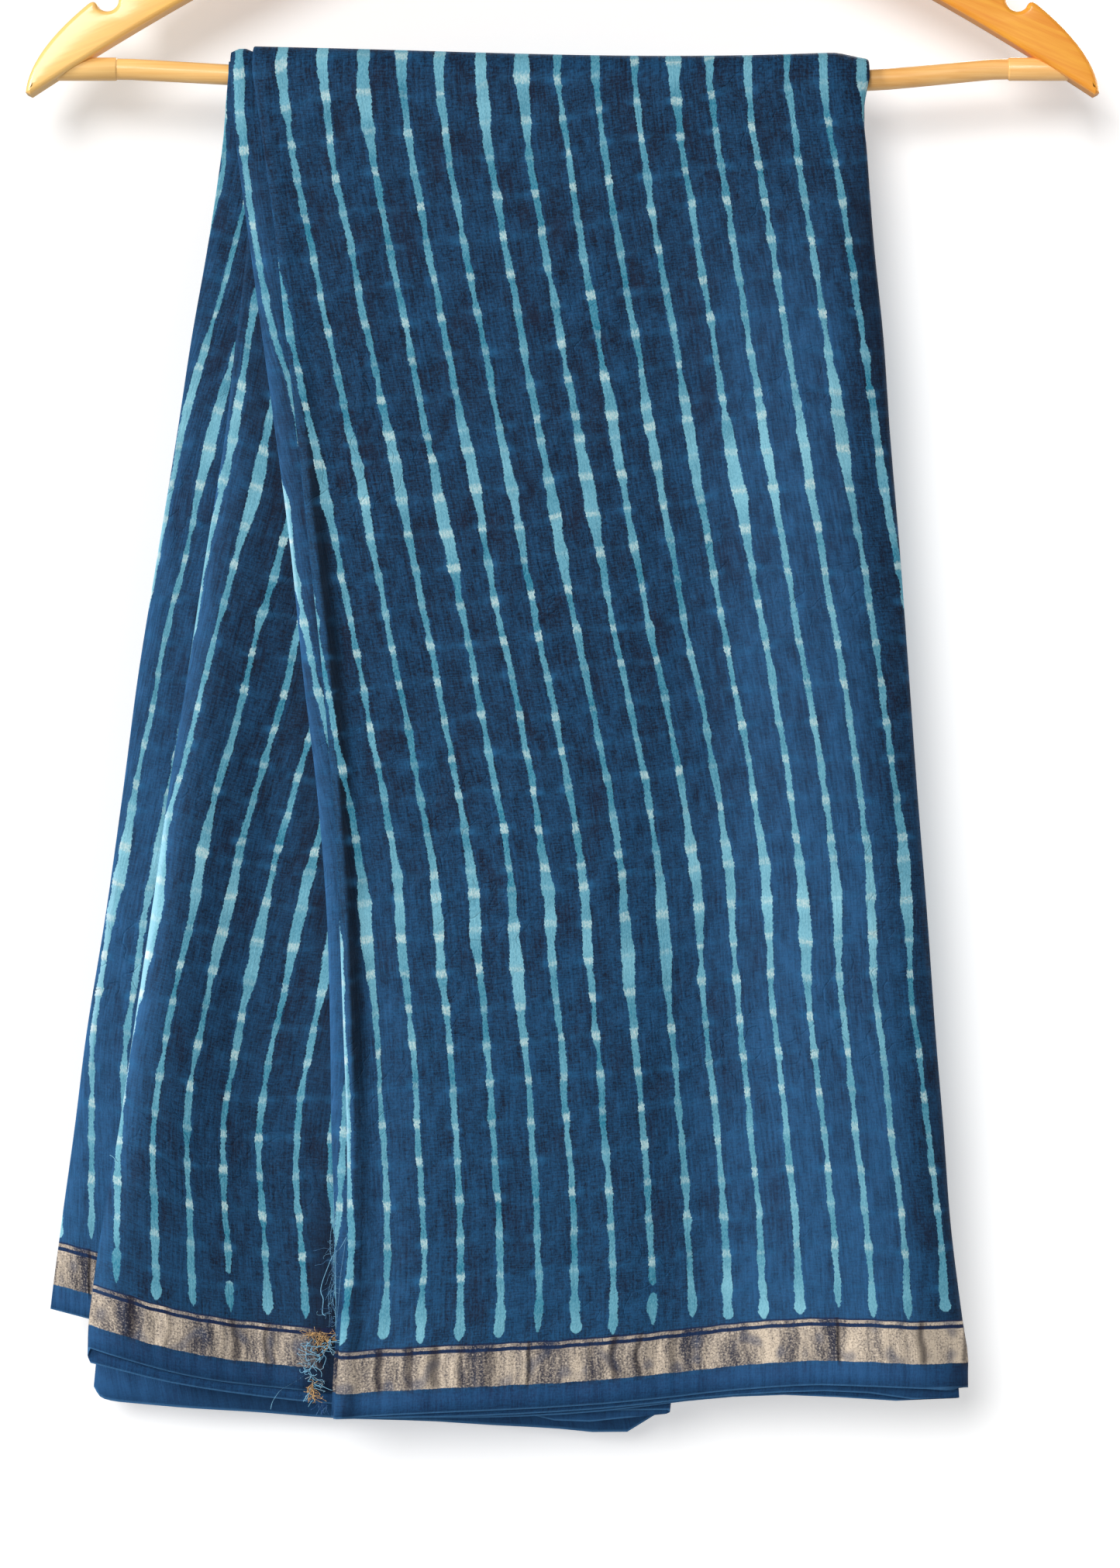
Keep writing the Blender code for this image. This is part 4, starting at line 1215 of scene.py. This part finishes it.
def bend(start, pull, end, steps):
    """Points on a curve from start to just before end, drawn towards pull."""
    return [tuple(start[k] * (1 - t) ** 2 + 2 * pull[k] * t * (1 - t) + end[k] * t * t for k in (0, 1))
            for t in [step / steps for step in range(steps)]]


def board_outline():
    """The right half, from the middle of the under edge round the tip and the notch to the crown."""
    under = [(x, arch(x, BOARD_UNDER, UNDER_FALL, UNDER_FALL_AT, UNDER_POWER))
             for x in [TIP_UNDER[0] * step / 40 for step in range(1, 40)]]
    start = top_of(SHOULDER_AT)
    notch = [(NOTCH_AT[0] + NOTCH_RADIUS * math.cos(turn), NOTCH_AT[1] + NOTCH_RADIUS * math.sin(turn))
             for turn in [math.radians(-45 - 135 * step / 12) for step in range(13)]]
    shoulder = bend(TIP, SHOULDER_PULL, start, 14)
    lip = bend(start, LIP_PULL, notch[0], 6)
    inner = NOTCH_AT[0] - NOTCH_RADIUS
    mouth = bend((inner, NOTCH_MOUTH), (inner, top_of(inner)[1]), top_of(inner - 3), 4)
    top = [top_of(x) for x in [(inner - 4) * (1 - step / 40) for step in range(40)]]
    return under + [TIP_UNDER] + shoulder + lip + notch + mouth + top


def make_board():
    right = board_outline()
    outline = [(0.0, BOARD_UNDER), *right, (0.0, BOARD_TOP), *[(-x, z) for x, z in reversed(right)]]
    curve = bpy.data.curves.new("honey_board", "CURVE")
    curve.dimensions, curve.fill_mode = "2D", "BOTH"
    curve.bevel_depth, curve.bevel_resolution = BOARD_ROUNDING * MM, 5
    curve.offset = -BOARD_ROUNDING * MM
    curve.extrude = (BOARD_THICK / 2 - BOARD_ROUNDING) * MM
    spline = curve.splines.new("POLY")
    spline.points.add(len(outline) - 1)
    for point, (x, z) in zip(spline.points, outline):
        point.co = (x * MM, z * MM, 0.0, 1.0)
    spline.use_cyclic_u = True
    return as_mesh_piece(add_object("honey_board", curve), honey_wood, BOARD_CREASE, turned=True)


# %% From a curve to a finished mesh
# Edges that bend by more than this stay crisp, in radians: on the board, and on the round pieces.
BOARD_CREASE = math.radians(14)
ROUND_CREASE = BOARD_CREASE + 0.4
WELD = 0.01


def as_mesh_piece(drawn, skin, crease, turned=False):
    """The curve's closed mesh, in its place, with smooth faces and crisp edges at the flat sides."""
    graph = bpy.context.evaluated_depsgraph_get()
    data = bpy.data.meshes.new_from_object(drawn.evaluated_get(graph))
    name = drawn.name
    bpy.data.objects.remove(drawn, do_unlink=True)
    mesh = bmesh.new()
    mesh.from_mesh(data)
    bmesh.ops.remove_doubles(mesh, verts=mesh.verts, dist=WELD * MM)
    for vert in mesh.verts:
        x, y, z = vert.co
        vert.co = (x, -z, y - SEAT_HEIGHT * MM) if turned else (x, y, z - SEAT_HEIGHT * MM)
    bmesh.ops.recalc_face_normals(mesh, faces=mesh.faces)
    for face in mesh.faces:
        face.smooth = True
    for line in mesh.edges:
        if line.is_manifold and line.calc_face_angle() > crease:
            line.smooth = False
    mesh.to_mesh(data)
    mesh.free()
    data.materials.clear()
    data.materials.append(skin)
    return add_object(name, data)


board = make_board()
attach(board, "root")
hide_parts("hanger_board")
print("board faces:", len(board.data.polygons))

# %% Round bars along a path
def make_tube(name, points, radius, skin, radii=None):
    """A round bar through the points, thicker and thinner along its way if it is given radii."""
    curve = bpy.data.curves.new(name, "CURVE")
    curve.dimensions = "3D"
    curve.bevel_depth, curve.bevel_resolution = radius * MM, 6
    curve.use_fill_caps = True
    spline = curve.splines.new("POLY")
    spline.points.add(len(points) - 1)
    for i, point in enumerate(points):
        spline.points[i].co = (*(Vector(point) * MM), 1.0)
        spline.points[i].radius = radii[i] / radius if radii else 1.0
    return as_mesh_piece(add_object(name, curve), skin, ROUND_CREASE)


# %% The dowel
COLLAR_AT, COLLAR_RADIUS, COLLAR_STEP, BAR_END = 187.0, 4.9, 0.25, 212.0
CHAMFER, CHAMFER_DEPTH = 0.45, 0.2
BAR_LIFT, LIFT_FROM, LIFT_LENGTH = 1.8, 136.0, 48.0
TURNING_WAVE, TURNING_LENGTH = 0.06, 17.0


def make_bar():
    """The dowel, bowed between its two thicker ends."""
    step = COLLAR_AT + COLLAR_STEP
    edge = step + CHAMFER
    middle = [COLLAR_AT * (i / 30 - 1) for i in range(61)]
    across = [-BAR_END, -edge, -step, *middle, step, edge, BAR_END]
    thin = [BAR_RADIUS + TURNING_WAVE * math.sin(x / TURNING_LENGTH) for x in middle]
    collar = [COLLAR_RADIUS, COLLAR_RADIUS, COLLAR_RADIUS - CHAMFER_DEPTH]
    lift = [BAR_LIFT * min(max((abs(x) - LIFT_FROM) / LIFT_LENGTH, 0), 1) for x in across]
    points = [(x, 0, bar_height(x) + up) for x, up in zip(across, lift)]
    return make_tube("pale_dowel", points, BAR_RADIUS, pale_wood, [*collar, *thin, *reversed(collar)])


dowel = make_bar()
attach(dowel, "root")
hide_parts("trouser_bar")
print("dowel faces:", len(dowel.data.polygons))

# %% [markdown]
# ## The wire hook
#
# The hook is bright steel wire, bent round a former. The wire keeps its drawn surface, so its gloss is
# streaked along its length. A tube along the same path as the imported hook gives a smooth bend.

# %% Steel wire
HOOK_WIRE, HOOK_RADIUS, HOOK_SOCKET_DEPTH = 3.6, 20.0, 26.0
LOOP_START, LOOP_END = -38.0, 212.0
KNEE_ABOVE, KNEE_PULL, RIM_ABOVE = 14.0, 13.0, 2.0


def steel():
    r = Recipe("steel_wire")
    x, z = r.places("XZ")
    drawn = r.clouds(x / 0.5, z / 0.5, detail=2.0)
    dull = r.clouds(x / 7, z / 7, 4.0)
    return r.finish(r.surface({
        "Base Color": r.tint(r.rise(dull, -0.8, 0.8), ink(196, 197, 200), ink(222, 222, 224)),
        "Metallic": 1.0,
        "Roughness": 0.24 + drawn * 0.04 + dull * 0.06,
        "Normal": r.bump(drawn * 0.008),
    }))


def make_hook():
    centre = SEAT_HEIGHT - HOOK_RADIUS + HOOK_WIRE / 2
    knee = Vector((0, 0, BOARD_TOP + KNEE_ABOVE))
    points = [Vector((0, 0, BOARD_TOP - HOOK_SOCKET_DEPTH)), Vector((0, 0, BOARD_TOP + RIM_ABOVE)), knee]

    def on_loop(angle):
        turn = math.radians(angle)
        return Vector((HOOK_RADIUS * math.cos(turn), 0, centre + HOOK_RADIUS * math.sin(turn)))

    start, turn = on_loop(LOOP_START), math.radians(LOOP_START)
    heading = Vector((-math.sin(turn), 0, math.cos(turn)))
    pulls = [knee, knee + Vector((0, 0, KNEE_PULL)), start - heading * KNEE_PULL, start]
    for step in range(1, 16):
        t = step / 16
        weights = [(1 - t) ** 3, 3 * t * (1 - t) ** 2, 3 * t * t * (1 - t), t ** 3]
        points.append(sum((pull * w for pull, w in zip(pulls, weights)), Vector()))
    points += [on_loop(LOOP_START + (LOOP_END - LOOP_START) * step / 72) for step in range(73)]
    return make_tube("wire_hook", points, HOOK_WIRE / 2, steel())


hook = make_hook()
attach(hook, "root")
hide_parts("hook")
print("hook faces:", len(hook.data.polygons))

# %% [markdown]
# ## Floor, wall and light
#
# The studio is white: a pale floor below, and a pale wall just behind the cloth that takes its soft shadow.
# The wall only shows from the front, and fades where it is seen aslant, so the sides and the back can be
# looked at too. A large far light from the upper left draws the folds. A softbox on the left and a rim light
# on the right fall on the sari and its hanger alone, as if flags kept them off the wall, and one more light
# shines on the back.

# %% Studio
FLOOR_LEVEL, FLOOR_REACH, FLOOR_GLOW = -1150.0, 2600.0, 0.05
WALL_AT, WALL_MIDDLE, WALL_REACH, WALL_GLOW = 42.0, -500.0, 760.0, 0.335
SOLID_SHARE = 0.45


def pale_ground(name, reach, one_sided, glow):
    """White that fades out towards the edge of a sheet, so that no edge shows."""
    r = Recipe(name)
    place = r.add("ShaderNodeTexCoord", None, (), "Object")
    away = r.add("ShaderNodeVectorMath", {"operation": "LENGTH"}, [place], 1)
    clear = r.rise(away, reach * SOLID_SHARE * MM, reach * MM)
    if one_sided:
        clear = clear.at_least(r.add("ShaderNodeNewGeometry", None, (), "Backfacing"))
        clear = clear.at_least(r.rise(r.add("ShaderNodeLayerWeight", None, (), "Facing"), 0.5, 0.8))
    white = r.surface({
        "Base Color": (0.97, 0.97, 0.97, 1.0), "Roughness": 1.0, "Specular IOR Level": 0.0,
        "Emission Color": (1.0, 1.0, 1.0, 1.0), "Emission Strength": glow})
    gone = r.add("ShaderNodeBsdfTransparent")
    return r.finish(r.add("ShaderNodeMixShader", None, [clear, white, gone]))


def stage_sheet(name, reach, place, turn, skin):
    mesh = bmesh.new()
    bmesh.ops.create_circle(mesh, cap_ends=True, segments=64, radius=reach * MM)
    data = bpy.data.meshes.new(name)
    mesh.to_mesh(data)
    mesh.free()
    data.materials.append(skin)
    made = add_object(name, data)
    made.location = Vector(place) * MM
    made.rotation_euler = turn
    return made


floor_finish = pale_ground("pale_floor", FLOOR_REACH, False, FLOOR_GLOW)
wall_finish = pale_ground("pale_wall", WALL_REACH, True, WALL_GLOW)
stage_sheet("floor", FLOOR_REACH, (0, 0, FLOOR_LEVEL), (0, 0, 0), floor_finish)
wall = stage_sheet("wall", WALL_REACH, (0, WALL_AT, WALL_MIDDLE), (math.pi / 2, 0, 0), wall_finish)
wall.visible_shadow = wall.visible_diffuse = wall.visible_glossy = wall.visible_transmission = False
print("floor at", FLOOR_LEVEL, "mm and wall", WALL_AT, "mm behind the bar")


# %% Light
def softbox(name, place, aim, size, power):
    """A square light, turned towards the place it is aimed at."""
    data = bpy.data.lights.new(name, "AREA")
    data.shape, data.size, data.energy = "SQUARE", size * MM, power
    lamp = add_object(name, data)
    lamp.location = Vector(place) * MM
    lamp.rotation_euler = (Vector(aim) - Vector(place)).to_track_quat("-Z", "Y").to_euler()
    return lamp


def far_light(name, place, spread, strength):
    """A large light so far off that it falls the same way everywhere."""
    data = bpy.data.lights.new(name, "SUN")
    data.energy, data.angle = strength, math.radians(spread)
    lamp = add_object(name, data)
    lamp.rotation_euler = (-Vector(place)).to_track_quat("-Z", "Y").to_euler()
    return lamp


def only_on(lamp, pieces):
    """Let a lamp fall on the pieces alone, as a flag keeps it off the wall."""
    group = bpy.data.collections.new(lamp.name + "_falls_on")
    for piece in pieces:
        group.objects.link(piece)
    lamp.light_linking.receiver_collection = group


def set_world(strength):
    """A weak even light from all round that the camera sees as white."""
    world = bpy.data.worlds.new("studio")
    world.use_nodes = True
    tree = world.node_tree
    glow = tree.nodes["Background"]
    path = tree.nodes.new("ShaderNodeLightPath")
    seen = tree.nodes.new("ShaderNodeMapRange")
    seen.inputs["To Min"].default_value, seen.inputs["To Max"].default_value = strength, 1.0
    tree.links.new(path.outputs["Is Camera Ray"], seen.inputs["Value"])
    tree.links.new(seen.outputs["Result"], glow.inputs["Strength"])
    glow.inputs["Color"].default_value = (1.0, 1.0, 1.0, 1.0)
    bpy.context.scene.world = world


# %% The lights in their places
WORLD_GLOW = 0.22
set_world(WORLD_GLOW)
far_light("key", (-255, -1000, 310), spread=22, strength=1.64)
side = softbox("side", (-2300, -1250, 500), (0, 0, -500), size=800, power=60)
rim = softbox("rim", (2300, 350, 300), (0, 0, -450), size=900, power=30)
for lamp in (side, rim):
    only_on(lamp, [sari, loose_threads, board, dowel, hook])
softbox("back_light", (900, 1900, 600), (0, 0, -450), size=1400, power=36)
bpy.context.scene.view_settings.view_transform = "Standard"
print("lights:", [item.name for item in bpy.data.objects if item.type == "LIGHT"])
